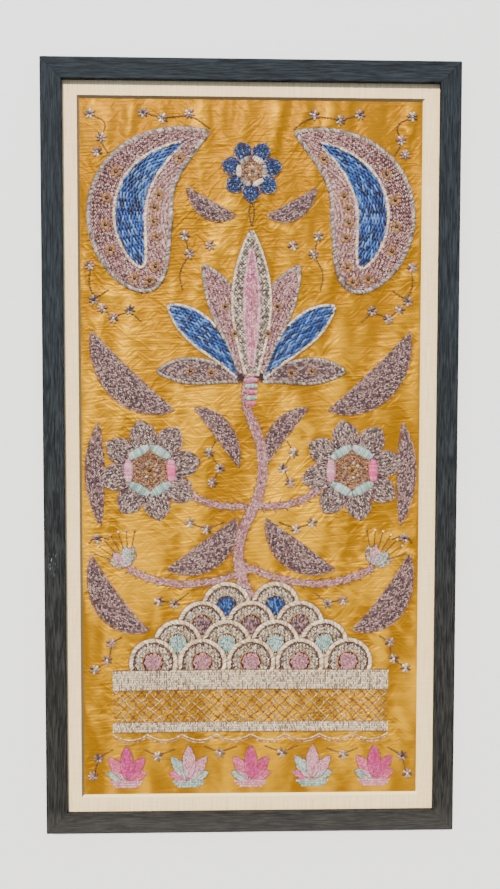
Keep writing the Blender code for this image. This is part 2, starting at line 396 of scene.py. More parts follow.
def linen():
    """Warm white linen with a slightly open weave, and a smooth pale core on the bevel, with painted shade
    on the two bevels facing away from the sun.
    """
    material, shader, place = start_material("linen_board", Roughness=0.85)
    across = place.speckle((18.0, 760.0, 1.0), 2.0, 0.7)
    upright = place.speckle((760.0, 18.0, 1.0), 2.0, 0.7)
    gap = across.steps(0.60, 0.72) + upright.steps(0.60, 0.72)
    cloud = place.speckle((9.0, 9.0, 9.0), 3.0)
    cloth = (across * 0.3 + upright * 0.7).steps(0.40, 0.60).blend(LINEN_DEEP, LINEN_PALE)
    cloth = (gap * 0.4).blend(cloth, LINEN_GAP)
    cloth = (cloud.steps(0.35, 0.75) * 0.25).blend(cloth, LINEN_CLOUD)
    facing = place.add("ShaderNodeNewGeometry", output="Normal")
    rightward, upward, outward = (facing.part(axis) for axis in range(3))
    core = 1 - outward.steps(0.80, 0.95)
    # Painted shade: the bevels that face away from the sun get a dark core colour.
    shaded = (rightward - upward).steps(0.3, 0.6)
    wire(shader, place, Base_Color=core.blend(cloth, shaded.blend(CORE_LIT, CORE_SHADED)),
         bump=(across + upright) * 0.0003 * (1 - core))
    return material


dress("window_mat", linen())
print("mat", [round(v / MM) for v in mat_high - mat_low], "mm")

# %% [markdown]
# ## Glass and backing
# Clear glass only shows by what it mirrors, a small share of the light straight on and more at a
# slant. A mirror whose opacity is the Fresnel term gives just that and casts no shadow. Its index is
# lower than real glass has, because the dome here is brighter than what the real pane mirrored. Only
# the face that the ray meets first mirrors, because a ray is never bent here and would otherwise be
# caught inside the pane. The backing is a plain fibre board.

# %% Glass and board
GLASS_INDEX = 1.20
FIBRE_COLOURS = (tint(120, 96, 70), tint(168, 142, 108))


def clear_glass():
    """A faint mirror that lets the rest of the light through."""
    material, shader, place = start_material("clear_glass", Metallic=1.0, Roughness=0.02,
                                             Base_Color=(0.96, 0.98, 0.98, 1.0))
    mirror = place.add("ShaderNodeFresnel", None, {"IOR": GLASS_INDEX})
    inside = place.add("ShaderNodeNewGeometry", output="Backfacing")
    wire(shader, place, Alpha=mirror * (1 - inside))
    return material


def fibre_board():
    """Brown fibre board with short pale fibres."""
    material, shader, place = start_material("fibre_board", Roughness=0.85)
    fibre = place.speckle((220.0, 60.0, 200.0), 4.0, 0.7)
    wire(shader, place, Base_Color=fibre.steps(0.3, 0.75).blend(*FIBRE_COLOURS), bump=fibre * 0.0004)
    return material


dress("glazing", clear_glass())
dress("backing_board", fibre_board())
print("glass", round((glass_high.z - glass_low.z) / MM, 1), "mm thick")

# %% [markdown]
# ## The design as a table
# The silk carries a flowering tree in the usual manner of such work: a mound of scales, a winding
# trunk, round blossoms, long leaves, a fan of petals and two tear-shaped sprays. Each motif is a bent
# middle line with a width, so one row of numbers holds it, in millimetres from the panel's centre.
# The left half mirrors the right, as when a stitcher folds the paper pattern.

# %% Motifs
Motif = namedtuple("Motif", "kind start bend end width profile lift")


def disc(kind, centre, radius, lift=1.0):
    """A round motif; its middle line is a diameter."""
    x, y = centre
    return Motif(kind, (x, y - radius), (x, y), (x, y + radius), radius, "round", lift)


HALF_MOTIFS = (
    Motif("spray", (140, 236), (240, 400), (60, 462), 62, "drop", 1.4),
    Motif("fan_low", (16, 108), (76, 124), (138, 118), 20, "petal", 1.1),
    Motif("fan_side", (14, 112), (70, 180), (122, 214), 23, "petal", 1.2),
    Motif("fan_high", (12, 116), (22, 200), (70, 272), 24, "petal", 1.3),
    Motif("leaf", (112, 62), (200, 76), (232, 176), 24, "leaf", 0.9),
    Motif("leaf", (222, 44), (236, -26), (220, -108), 14, "leaf", 0.9),
    Motif("leaf", (22, -96), (50, -166), (124, -172), 21, "leaf", 0.9),
    Motif("leaf", (150, -262), (222, -248), (234, -150), 21, "leaf", 0.9),
    Motif("leaf", (18, -22), (34, 44), (84, 66), 14, "leaf", 0.9),
    Motif("leaf", (22, 344), (64, 336), (94, 384), 13, "leaf", 0.9),
    Motif("branch", (6, -78), (62, -84), (100, -54), 5, "stem", 0.8),
    Motif("branch", (4, -172), (104, -216), (180, -170), 5, "stem", 0.8),
    disc("bloom", (148, -26), 52, 1.2),
)
MIDDLE_MOTIFS = (
    Motif("trunk", (0, -216), (-38, -150), (0, -88), 8, "stem", 1.1),
    Motif("trunk", (0, -88), (34, -22), (0, 48), 7, "stem", 1.1),
    Motif("trunk", (0, 48), (-18, 84), (0, 116), 6, "stem", 1.1),
    Motif("fan_top", (0, 112), (0, 190), (0, 322), 30, "petal", 1.4),
    disc("crown", (0, 406), 32, 1.2),
)
BARS = (
    Motif("bar", (-204, -337), (0, -334), (204, -337), 15, "stem", 0.8),
    Motif("bar", (-204, -408), (0, -406), (204, -408), 7, "stem", 0.7),
)
PETALS = {"bloom": (8, 74, 19), "crown": (7, 44, 13)}
SCALE_ROWS = ((-226, 2), (-254, 3), (-282, 4), (-310, 5))
SCALE_PITCH = 72
SCALE_LIFT = 1.1


def mirrored(motif):
    """The same motif on the panel's other half."""
    flipped = [(-x, y) for x, y in (motif.start, motif.bend, motif.end)]
    return motif._replace(start=flipped[0], bend=flipped[1], end=flipped[2])


def mound_scales():
    """The mound's scales as round motifs, from the top row down."""
    scales = []
    for level, (row_y, count) in enumerate(SCALE_ROWS):
        for place in range(count):
            x = (place - (count - 1) / 2) * SCALE_PITCH
            scales.append(disc("scale%d" % level, (x, row_y), SCALE_PITCH / 2, SCALE_LIFT))
    return scales


def petals_round(motif):
    """The petals of a blossom, from its count, reach and half width."""
    count, reach, half_width = PETALS[motif.kind]
    centre = Vector(motif.bend)
    ways = [Vector((math.cos(angle), math.sin(angle)))
            for angle in (0.2 + 2 * math.pi * number / count for number in range(count))]
    return [Motif("petal", *(tuple(centre + way * reach * share) for share in (0.30, 0.65, 1)),
                  half_width, "petal", 1.0) for way in ways]


motifs = [copy for motif in HALF_MOTIFS for copy in (motif, mirrored(motif))]
motifs = motifs + list(MIDDLE_MOTIFS) + mound_scales() + list(BARS)
blossom_petals = [petal for motif in motifs if motif.kind in PETALS for petal in petals_round(motif)]
padded_motifs = motifs + blossom_petals
print(len(motifs), "motifs,", len(padded_motifs), "with each petal")

# %% [markdown]
# ## Reading a motif
# Three questions come up for every motif: where is its middle line, how wide is it there, and how
# deep inside it does a point lie. Answering them with numpy for many points at once keeps the
# whole design quick to rebuild.

# %% Motif geometry
SPINE_STEPS = 40
DROP_GAIN = 2.378


def half_widths(profile, share):
    """A motif's half width along its middle line, as a share of its widest place."""
    share = np.clip(share, 0, 1)
    if profile == "leaf":
        return np.sin(np.pi * share) ** 0.75
    if profile == "petal":
        return np.sin(np.pi * (0.1 + 0.88 * share ** 1.4)) ** 0.8
    if profile == "round":
        return np.sqrt(1 - (2 * share - 1) ** 2)
    if profile == "drop":
        return DROP_GAIN * share ** 0.5 * (1 - share) ** 0.8
    return np.ones_like(share)


def middle_line(motif, shares):
    """Points of the middle line, in millimetres, and its unit directions."""
    start, bend, end = (np.array(p, float) for p in (motif.start, motif.bend, motif.end))
    t = np.asarray(shares, float)[:, None]
    points = (1 - t) ** 2 * start + 2 * t * (1 - t) * bend + t ** 2 * end
    ways = (1 - t) * (bend - start) + t * (end - bend)
    return points, ways / np.linalg.norm(ways, axis=1)[:, None]


def depth_inside(motif, x, y):
    """How deep inside a motif each point lies, in millimetres, negative outside; bars end square."""
    shares = np.linspace(0, 1, SPINE_STEPS + 1)
    points, _ = middle_line(motif, shares)
    reaches = motif.width * half_widths(motif.profile, shares)
    nearest = np.full(x.shape, np.inf)
    depth = np.full(x.shape, -np.inf)
    for (spine_x, spine_y), reach in zip(points, reaches):
        distance = np.hypot(x - spine_x, y - spine_y)
        closer = distance < nearest
        depth = np.where(closer, reach - distance, depth)
        nearest = np.where(closer, distance, nearest)
    return np.minimum(depth, motif.end[0] - np.abs(x)) if motif.kind == "bar" else depth


def smooth_step(value):
    """0 below 0, 1 above 1, and a soft ramp between."""
    ramp = np.clip(value, 0, 1)
    return ramp * ramp * (3 - 2 * ramp)


print("a leaf is", 2 * HALF_MOTIFS[4].width, "mm wide")

# %% [markdown]
# ## The silk's own shape
# Hand stitching draws silk together, so it puckers: short ripples run across the cloth between the
# motifs, and soft upright folds hang from the top edge. The main creases are listed, each a
# ridge along a line. Finer ripples come from noise that is stretched across the cloth, strongest
# near the stitching. Padding lifts the motifs. All of it is one height for each point.

# %% Creases
CREASES = (
    (-214, 500, -206, 430, 0.7, 10), (-172, 500, -178, 452, 0.8, 9),
    (-132, 500, -126, 462, 0.9, 9), (-88, 500, -94, 448, 0.8, 10),
    (-46, 500, -38, 442, 0.9, 9), (-6, 500, -14, 446, 0.7, 9),
    (36, 500, 28, 436, 0.9, 10), (78, 500, 60, 440, 1.0, 9),
    (118, 498, 96, 452, 0.8, 9), (206, 478, 232, 462, 0.9, 6),
    (222, 300, 246, 306, 0.9, 7), (218, 262, 244, 256, 1.0, 8),
    (206, 196, 246, 204, 0.8, 8), (-246, 352, -214, 346, 0.7, 7),
    (-246, 236, -196, 228, 0.9, 8), (-246, 186, -214, 192, 0.8, 7),
    (60, 48, 92, 30, 0.8, 7), (-88, 44, -56, 60, 0.7, 7),
    (-70, -86, -30, -70, 0.8, 8), (34, -70, 74, -84, 0.9, 8),
    (172, -128, 246, -118, 1.0, 9), (160, -152, 244, -146, 0.9, 7),
    (-246, -150, -170, -140, 0.8, 8), (-236, -210, -228, -330, 1.0, 11),
    (-214, -240, -212, -330, 0.8, 8), (206, -246, 240, -286, 1.0, 8),
    (188, -300, 246, -322, 0.9, 8), (-240, -372, -214, -440, 0.8, 9),
    (214, -380, 240, -430, 0.9, 8), (-60, 300, -20, 288, 0.7, 8),
    (22, 330, 62, 320, 0.8, 8), (-66, 352, -24, 362, 0.7, 7),
)


def crease_height(x, y, start_x, start_y, end_x, end_y, height, width):
    """A soft ridge along a straight line that dies away at both ends."""
    run_x, run_y = end_x - start_x, end_y - start_y
    length = math.hypot(run_x, run_y)
    along = ((x - start_x) * run_x + (y - start_y) * run_y) / length ** 2
    aside = ((x - start_x) * run_y - (y - start_y) * run_x) / length
    ends = smooth_step(along * 4 + 0.5) * smooth_step((1 - along) * 4 + 0.5)
    return height * ends * np.exp(-(aside / width) ** 2)


print(len(CREASES), "creases placed by hand")

# %% Ripples
LATTICE = (160, 400)
LATTICE_MIDDLE = (70, 180)


def between(values, i, j, a, b):
    """Mixes a map's four values round a point that lies shares a and b past row i and column j."""
    low = values[i, j] * (1 - a) + values[i + 1, j] * a
    high = values[i, j + 1] * (1 - a) + values[i + 1, j + 1] * a
    return low * (1 - b) + high * b


def unevenness(x, y, cell_x, cell_y, seed):
    """Smooth random values from -1 to 1 on a lattice of cells of this size in millimetres."""
    lattice = np.random.default_rng(seed).uniform(-1, 1, LATTICE)
    u, v = x / cell_x + LATTICE_MIDDLE[0], y / cell_y + LATTICE_MIDDLE[1]
    i, j = np.floor(u).astype(int), np.floor(v).astype(int)
    return between(lattice, i, j, smooth_step(u - i), smooth_step(v - j))


def ridges(x, y, length, spacing, turn, seed):
    """Narrow crests with wide hollows between, as thin silk makes them, running at this angle."""
    along = x * math.cos(turn) + y * math.sin(turn)
    aside = y * math.cos(turn) - x * math.sin(turn)
    return 1 - 2 * np.abs(unevenness(along, aside, length, spacing, seed)) ** 0.7


trial = ridges(np.zeros(90), np.arange(90.0), 30, 8.0, 0.10, 3)
print("ripples run from", round(trial.min(), 2), "in a hollow to", round(trial.max(), 2), "on a crest")

# %% Silk relief
WINDOW_X = 247.0
WINDOW_Y = 507.5
PAD_SHOULDER = 6.0
RIM_FADE = 6.0
FOLD_LIFT = 1.3
FINE_LIFT = 0.42
BROAD_LIFT = 0.28
PULL_REACH = 15
CALM_FROM = 410
CALM_OVER = 60
RELIEF_DEEPEST = -0.85
RELIEF_HIGHEST = 2.2
SHEET_COLUMNS = 184
SHEET_ROWS = 384


def silk_height(x, y):
    """Height of the silk above its flat face in millimetres, and how much it is puckered, 0 to 1."""
    pads = np.zeros(x.shape)
    near = np.full(x.shape, -np.inf)
    for motif in padded_motifs:
        depth = depth_inside(motif, x, y)
        near = np.maximum(near, depth)
        pads = np.maximum(pads, motif.lift * smooth_step(depth / PAD_SHOULDER + 0.4))
    outside = np.clip(-near, 0, 200)
    patchy = 0.4 + 0.6 * smooth_step(unevenness(x, y, 55, 38, 8) + 0.5)
    calm = 1 - 0.6 * smooth_step((y - CALM_FROM) / CALM_OVER)
    pull = patchy * (0.28 + 0.72 * np.exp(-outside / PULL_REACH)) * calm
    wander = 7 * unevenness(x, y, 40, 26, 9)
    fine = (0.9 * ridges(x, y + wander, 30, 8.0, 0.10, 3) + ridges(x + wander, y, 26, 9.0, 0.62, 4)
            + ridges(x - wander, y, 26, 9.0, -0.52, 14))
    broad = ridges(x + wander, y, 90, 19, 1.35, 5) + 0.8 * ridges(x, y, 70, 24, -1.25, 6)
    folds = sum(crease_height(x, y, *crease) for crease in CREASES)
    loose = FINE_LIFT * fine * pull + BROAD_LIFT * broad * (1 - 0.5 * np.exp(-outside / 12))
    fade = smooth_step(np.minimum(WINDOW_X - np.abs(x), WINDOW_Y - np.abs(y)) / RIM_FADE)
    worked = smooth_step(near / 4 + 0.5)
    rise = pads + (loose + FOLD_LIFT * folds) * (1 - 0.8 * worked)
    return np.clip(rise, RELIEF_DEEPEST, RELIEF_HIGHEST) * fade, pull * (1 - worked) * fade


sheet_x = np.linspace(silk_low.x, silk_high.x, SHEET_COLUMNS + 1) / MM
sheet_y = np.linspace(silk_low.y, silk_high.y, SHEET_ROWS + 1) / MM
relief, puckering = silk_height(*np.meshgrid(sheet_x, sheet_y, indexing="ij"))
print("relief from", round(relief.min(), 2), "to", round(relief.max(), 2), "mm")

# %% Crests and heights
CREST_RISE = 0.5
CREST_ROUNDS = 12


def soften(values, rounds):
    """A map of the sheet with each point drawn to its neighbours, so many times."""
    for _ in range(rounds):
        padded = np.pad(values, 1, mode="edge")
        beside = padded[:-2, 1:-1] + padded[2:, 1:-1] + padded[1:-1, :-2] + padded[1:-1, 2:]
        values = (beside + 2 * values) / 6
    return values


def read_sheet(values, x, y):
    """Reads a map of the sheet at points in millimetres, between the sheet's own points."""
    u = np.clip((x - sheet_x[0]) / (sheet_x[1] - sheet_x[0]), 0, SHEET_COLUMNS - 1e-6)
    v = np.clip((y - sheet_y[0]) / (sheet_y[1] - sheet_y[0]), 0, SHEET_ROWS - 1e-6)
    i, j = u.astype(int), v.astype(int)
    return between(values, i, j, u - i, v - j)


def surface_height(x, y):
    """Height of the finished silk at points in millimetres."""
    return read_sheet(relief, x, y)


crests = np.clip((relief - soften(relief, CREST_ROUNDS)) / CREST_RISE, -1, 1)
usual_crest = float(np.percentile(crests, 95)) * CREST_RISE
print("crests stand", round(usual_crest, 2), "mm above the silk round them")

# %% [markdown]
# ## The silk's finish
# Satin-woven silk has fine weft lines, soft broad folds and sharp puckers. Noise gives them at three
# scales, and two values stored on the sheet say where thread draws it in and where a crest stands.
# A higher tone is a brighter gold. The tone carries painted light: it is raised on fold tops, creases
# and crests as painted highlight and lowered in their hollows as painted shade. It is also lowered
# towards the picture's top as painted shade, because the light is strongest there and would wash a
# bright yellow out. Silk under the thread gets painted shade, so the gaps between stitches look dark.

# %% Silk finish
PAINTED_GAP_SHADE_NAME = "painted_gap_shade"
PUCKER_NAME = "puckered"
CREST_NAME = "crest"
SILK_GOLD = (tint(168, 112, 0), tint(243, 175, 0))
PAINTED_GAP_SHADE = tint(66, 50, 56)
PAINTED_TOP_SHADE_SPAN = (0.14, 0.44)


def silk_finish():
    """Golden satin: fine weft lines, soft broad folds, and sharp puckers where thread draws it in, with
    painted light on folds and crests and painted shade under thread.
    """
    material, shader, place = start_material("golden_silk", Specular_IOR_Level=0.12, Metallic=0.2,
                                             Specular_Tint=tint(255, 190, 60))
    weft = place.speckle((22.0, 1500.0, 200.0), 2.0, 0.6)
    slub = place.speckle((24.0, 430.0, 60.0), 2.0, 0.55)
    leaning = place.speckle((30.0, 5.0, 30.0), 1.0, 0.5, -0.14) * 0.6
    fold = leaning + place.speckle((24.0, 7.0, 30.0), 2.0, 0.5, 0.30) * 0.4
    level = place.crests((15.0, 120.0, 60.0), 0.10)
    rising = place.crests((24.0, 95.0, 60.0), 0.78)
    falling = place.crests((24.0, 95.0, 60.0), -0.66)
    where = place.speckle((34.0, 34.0, 34.0), 1.0).steps(0.42, 0.58)
    crease = level * 0.4 + rising * where * 0.6 + falling * (1 - where) * 0.6
    puckered = place.attribute(PUCKER_NAME)
    crest = place.attribute(CREST_NAME)
    crease = crease * (puckered * 0.85 + 0.15)
    # Painted shade: the gold is lowered towards the picture's top, where the light is strongest.
    painted_top_shade = place.part(1).steps(*PAINTED_TOP_SHADE_SPAN) * 0.36
    # Painted light: the tone rises on fold tops, creases and crests and falls in their hollows.
    tone_with_painted_light = (fold - 0.5) * 3.4 + crease * 0.7 + crest * 0.4 + slub * 0.3 + 0.18 - painted_top_shade
    silk = tone_with_painted_light.steps(0.0, 1.0).blend(*SILK_GOLD)
    gap_shade = place.attribute(PAINTED_GAP_SHADE_NAME)
    # Silk under the thread gets painted shade, so the gaps between stitches look dark.
    wire(shader, place, Base_Color=gap_shade.blend(silk, PAINTED_GAP_SHADE),
         Roughness=0.36 + weft * 0.12 + gap_shade * 0.3,
         bump=fold * 0.012 + crease * 0.0022 + slub * 0.0006 + weft * 0.00008)
    return material


golden_silk = silk_finish()
print("silk finish of", len(golden_silk.node_tree.nodes), "nodes")

# %% [markdown]
# ## The silk sheet
# A fine grid is raised by that height, its rim is pulled down to the board, and the back is closed.
# The sheet stays one closed body with outward faces, so it also works as a solid mesh. Blender may
# number the rim's new faces differently in each run, so all faces are sorted by their place.

# %% Silk sheet
FLAT_TOP = mat_low.z - 0.3 * MM
ROW_WEIGHT = 1000.0


def finish_piece(name, builder, materials):
    """Turns a bmesh into an object at the origin with its materials."""
    mesh = bpy.data.meshes.new(name)
    builder.to_mesh(mesh)
    builder.free()
    for material in materials:
        mesh.materials.append(material)
    return put_in_scene(name, mesh)


def corners(piece):
    """The corner points of a piece's mesh, in metres, a row for each."""
    points = np.empty(len(piece.data.vertices) * 3)
    piece.data.vertices.foreach_get("co", points)
    return points.reshape(-1, 3)


def place_rank(side):
    """A number that sorts faces by their place, row by row."""
    middle = side.calc_center_median()
    return ROW_WEIGHT * middle.y + middle.x


def make_silk():
    """The raised grid, its rim and its flat back."""
    builder = bmesh.new()
    centre = (silk_low + silk_high) / 2
    size = silk_high - silk_low
    outline = Matrix.Translation((centre.x, centre.y, 0)) @ Matrix.Diagonal((size.x, size.y, 1, 1))
    bmesh.ops.create_grid(builder, x_segments=SHEET_COLUMNS, y_segments=SHEET_ROWS, size=0.5,
                          matrix=outline)
    grid = builder.verts[:]
    x = np.array([vertex.co.x for vertex in grid]) / MM
    y = np.array([vertex.co.y for vertex in grid]) / MM
    for vertex, rise in zip(grid, surface_height(x, y)):
        vertex.co.z = FLAT_TOP + rise * MM
    for side in builder.faces:
        side.smooth = True
    rim = [edge for edge in builder.edges if edge.is_boundary]
    grown = bmesh.ops.extrude_edge_only(builder, edges=rim)
    for item in grown["geom"]:
        if isinstance(item, bmesh.types.BMVert):
            item.co.z = silk_low.z
    back_rim = [edge for edge in builder.edges if edge.is_boundary]
    back = bmesh.ops.contextual_create(builder, geom=back_rim)["faces"]
    bmesh.ops.poke(builder, faces=back)
    builder.faces.sort(key=place_rank)
    bmesh.ops.recalc_face_normals(builder, faces=builder.faces)
    return finish_piece("silk_sheet", builder, [golden_silk])


def mark_sheet(sheet):
    """Marks the puckered silk, and the silk that thread covers, which gets painted shade so its gaps look
    dark.
    """
    x, y, _ = corners(sheet).T / MM
    gap_shade_mask = np.zeros(len(x))
    for motif in padded_motifs:
        gap_shade_mask = np.maximum(gap_shade_mask, smooth_step(depth_inside(motif, x, y) / 3))
    for key, values in ((PAINTED_GAP_SHADE_NAME, gap_shade_mask), (PUCKER_NAME, read_sheet(puckering, x, y)),
                        (CREST_NAME, read_sheet(crests, x, y))):
        sheet.data.attributes.new(key, "FLOAT", "POINT").data.foreach_set("value", values)


silk = make_silk()
mark_sheet(silk)
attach(silk, "root")
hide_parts("silk_panel")
print("silk sheet", len(silk.data.vertices), "points")

# %% [markdown]
# ## Thread
# One stitch is a short plump strand that dips into the cloth at both ends. A sphere of two rings is
# enough for that: its poles are the ends and its rings are moved apart so that the strand keeps its
# width. Each stitch in the panel is a copy of it, sized, turned and coloured on its own, and copies
# are made by Geometry Nodes from one point for each stitch.

# %% One stitch and one knot
STRAND_RADIUS = 0.577
RINGS_APART = 0.31
STRAND_LIFT = 0.42
TIP_LIFT = 0.05
KNOT_LIFT = 0.3


def make_unit(name, knot):
    """A strand of length, width and height 1 along X, or a round knot."""
    builder = bmesh.new()
    if knot:
        lifted = Matrix.Translation((0, 0, KNOT_LIFT))
        bmesh.ops.create_icosphere(builder, subdivisions=1, radius=0.5, matrix=lifted)
    else:
        lie_down = Matrix.Rotation(math.radians(90), 4, "Y")
        bmesh.ops.create_uvsphere(builder, u_segments=5, v_segments=3, radius=STRAND_RADIUS,
                                  matrix=lie_down)
        for vertex in builder.verts:
            tip = abs(vertex.co.x) > 0.5
            vertex.co.z += TIP_LIFT if tip else STRAND_LIFT
            vertex.co.x = math.copysign(0.5 if tip else RINGS_APART, vertex.co.x)
    for side in builder.faces:
        side.smooth = True
    bmesh.ops.recalc_face_normals(builder, faces=builder.faces)
    unit = finish_piece(name, builder, [])
    unit.hide_render = True
    return unit


strand_unit = make_unit("strand_unit", False)
knot_unit = make_unit("knot_unit", True)
print("a strand has", len(strand_unit.data.vertices), "points")

# %% Copy a unit to every point
def copying_nodes(unit):
    """A node group that puts a turned, sized copy of a unit on each point and makes it real."""
    group = bpy.data.node_groups.new("copy_" + unit.name, "GeometryNodeTree")
    group.interface.new_socket("Geometry", in_out="INPUT", socket_type="NodeSocketGeometry")
    group.interface.new_socket("Geometry", in_out="OUTPUT", socket_type="NodeSocketGeometry")
    made = {}
    for key, kind in (("in", "NodeGroupInput"), ("out", "NodeGroupOutput"),
                      ("unit", "GeometryNodeObjectInfo"), ("turn", "GeometryNodeInputNamedAttribute"),
                      ("size", "GeometryNodeInputNamedAttribute"), ("euler", "FunctionNodeEulerToRotation"),
                      ("copy", "GeometryNodeInstanceOnPoints"), ("real", "GeometryNodeRealizeInstances")):
        made[key] = group.nodes.new(kind)
    for key in ("turn", "size"):
        made[key].data_type = "FLOAT_VECTOR"
        made[key].inputs["Name"].default_value = key
    made["unit"].inputs["Object"].default_value = unit
    for source, output, target, socket in (
            ("in", "Geometry", "copy", "Points"), ("unit", "Geometry", "copy", "Instance"),
            ("turn", "Attribute", "euler", "Euler"), ("euler", "Rotation", "copy", "Rotation"),
            ("size", "Attribute", "copy", "Scale"), ("copy", "Instances", "real", "Geometry"),
            ("real", "Geometry", "out", "Geometry")):
        group.links.new(made[source].outputs[output], made[target].inputs[socket])
    return group


copy_strands = copying_nodes(strand_unit)
copy_knots = copying_nodes(knot_unit)
COLOUR_NAME = "thread_colour"


def make_copies(name, group, places, turns, sizes, colours, material):
    """Points with their turn, size and colour, through the copying nodes, as one mesh."""
    mesh = bpy.data.meshes.new(name + "_points")
    mesh.vertices.add(len(places))
    mesh.vertices.foreach_set("co", places.astype(np.float32).ravel())
    for key, kind, field, values in (("turn", "FLOAT_VECTOR", "vector", turns),
                                     ("size", "FLOAT_VECTOR", "vector", sizes),
                                     (COLOUR_NAME, "FLOAT_COLOR", "color", colours)):
        store = mesh.attributes.new(key, kind, "POINT").data
        store.foreach_set(field, values.astype(np.float32).ravel())
    holder = put_in_scene(name + "_points", mesh)
    holder.modifiers.new("copies", "NODES").node_group = group
    made = bpy.data.meshes.new_from_object(holder.evaluated_get(bpy.context.evaluated_depsgraph_get()))
    bpy.data.objects.remove(holder)
    for key in ("turn", "size"):
        if key in made.attributes:
            made.attributes.remove(made.attributes[key])
    made.name = name
    made.materials.clear()
    made.materials.append(material)
    return put_in_scene(name, made)


print("copying takes", len(copy_strands.nodes), "nodes")

# %% [markdown]
# ## Thread colours
# The thread is thick cotton in greys, dusty mauves and a strong blue, with small touches of pink and
# pale green. A hank is never one even colour, so each is a short list of shades, and every stitch
# takes one of them and is then made slightly lighter or darker. Shades are written as they show on
# screen. The palest go a little past 255, because a round strand is never lit all over.

# %% Hanks of thread
HANKS = {
    "silver": ((178, 160, 144), (200, 184, 166), (238, 222, 204), (112, 98, 88), (150, 134, 118)),
    "white": ((262, 238, 196), (240, 214, 174), (282, 262, 228), (200, 172, 140)),
    "cream": ((232, 204, 152), (214, 180, 122), (244, 222, 182)),
    "mauve": ((186, 130, 106), (208, 148, 128), (232, 180, 162), (138, 96, 86), (246, 210, 192)),
    "plum": ((138, 96, 98), (104, 70, 78), (172, 132, 128), (196, 160, 152), (84, 58, 66)),
    "dusk": ((156, 122, 106), (114, 84, 82), (186, 154, 138), (84, 60, 64), (212, 184, 168)),
    "rose_grey": ((218, 150, 158), (200, 134, 144), (230, 172, 176), (184, 118, 128)),
    "blue": ((22, 66, 138), (10, 34, 82), (30, 84, 162), (96, 140, 202)),
    "slate": ((238, 214, 182), (262, 240, 206), (150, 126, 104)),
    "navy": ((26, 38, 72), (20, 28, 50)),
    "brown": ((140, 94, 58), (108, 68, 42), (154, 106, 66)),
    "bark": ((92, 58, 44), (74, 46, 40), (112, 74, 52)),
    "gold": ((192, 126, 26), (160, 100, 22), (210, 148, 44)),
    "mint": ((168, 204, 192), (198, 222, 212), (142, 180, 170), (222, 236, 228)),
    "pink": ((250, 100, 158), (236, 76, 142), (254, 146, 184)),
    "magenta": ((226, 52, 144), (204, 40, 128), (240, 90, 166)),
    "blush": ((246, 168, 188), (238, 142, 172), (252, 200, 210)),
}
chance = np.random.default_rng(11)


def pick(hank, count, spread=0.10):
    """Colours of this many stitches from a hank, each a little lighter or darker."""
    shades = np.array([tint(*shade) for shade in HANKS[hank]])
    chosen = shades[chance.integers(0, len(shades), count)]
    chosen[:, :3] *= 1 + chance.uniform(-spread, spread, (count, 1))
    return chosen


FLECK_SHADE = (0.46, 0.42, 0.42, 1.0)


def thread_finish():
    """Cotton with a soft sheen; its colour is each stitch's own."""
    material, shader, place = start_material("cotton_thread", Roughness=0.38, Specular_IOR_Level=0.45)
    own = place.attribute(COLOUR_NAME, "Color")
    fuzz = place.speckle((1600.0, 1600.0, 1600.0), 2.0)
    fleck = place.speckle((620.0, 620.0, 620.0), 1.0).steps(0.52, 0.66) * 0.7
    wire(shader, place, Base_Color=fleck.blend(own, FLECK_SHADE, "MULTIPLY"), bump=fuzz * 0.0003)
    return material


cotton = thread_finish()
print(len(HANKS), "hanks")

# %% [markdown]
# ## A piece of stitching
# Stitches are gathered in a work list by motif, as straight runs from one point to another. When a
# piece is complete its runs are laid on the silk: the height at both ends gives the tilt, and no
# strand may touch the glass.

# %% Work list
CEILING = glass_low.z - 0.35 * MM
SHORTEST_RUN = 0.5
RUN_LAP = 1.06
TILT_SHARE = 0.33


def fit_under(level, rise):
    """A rise pressed together where little room is left between this level and the glass."""
    room = (CEILING - FLAT_TOP) / MM - level
    return room * (1 - np.exp(-rise / room))


def on_silk(points, level):
    """Places in metres, from points in millimetres and their level above the silk's flat face."""
    return np.column_stack((points * MM, FLAT_TOP + level * MM))


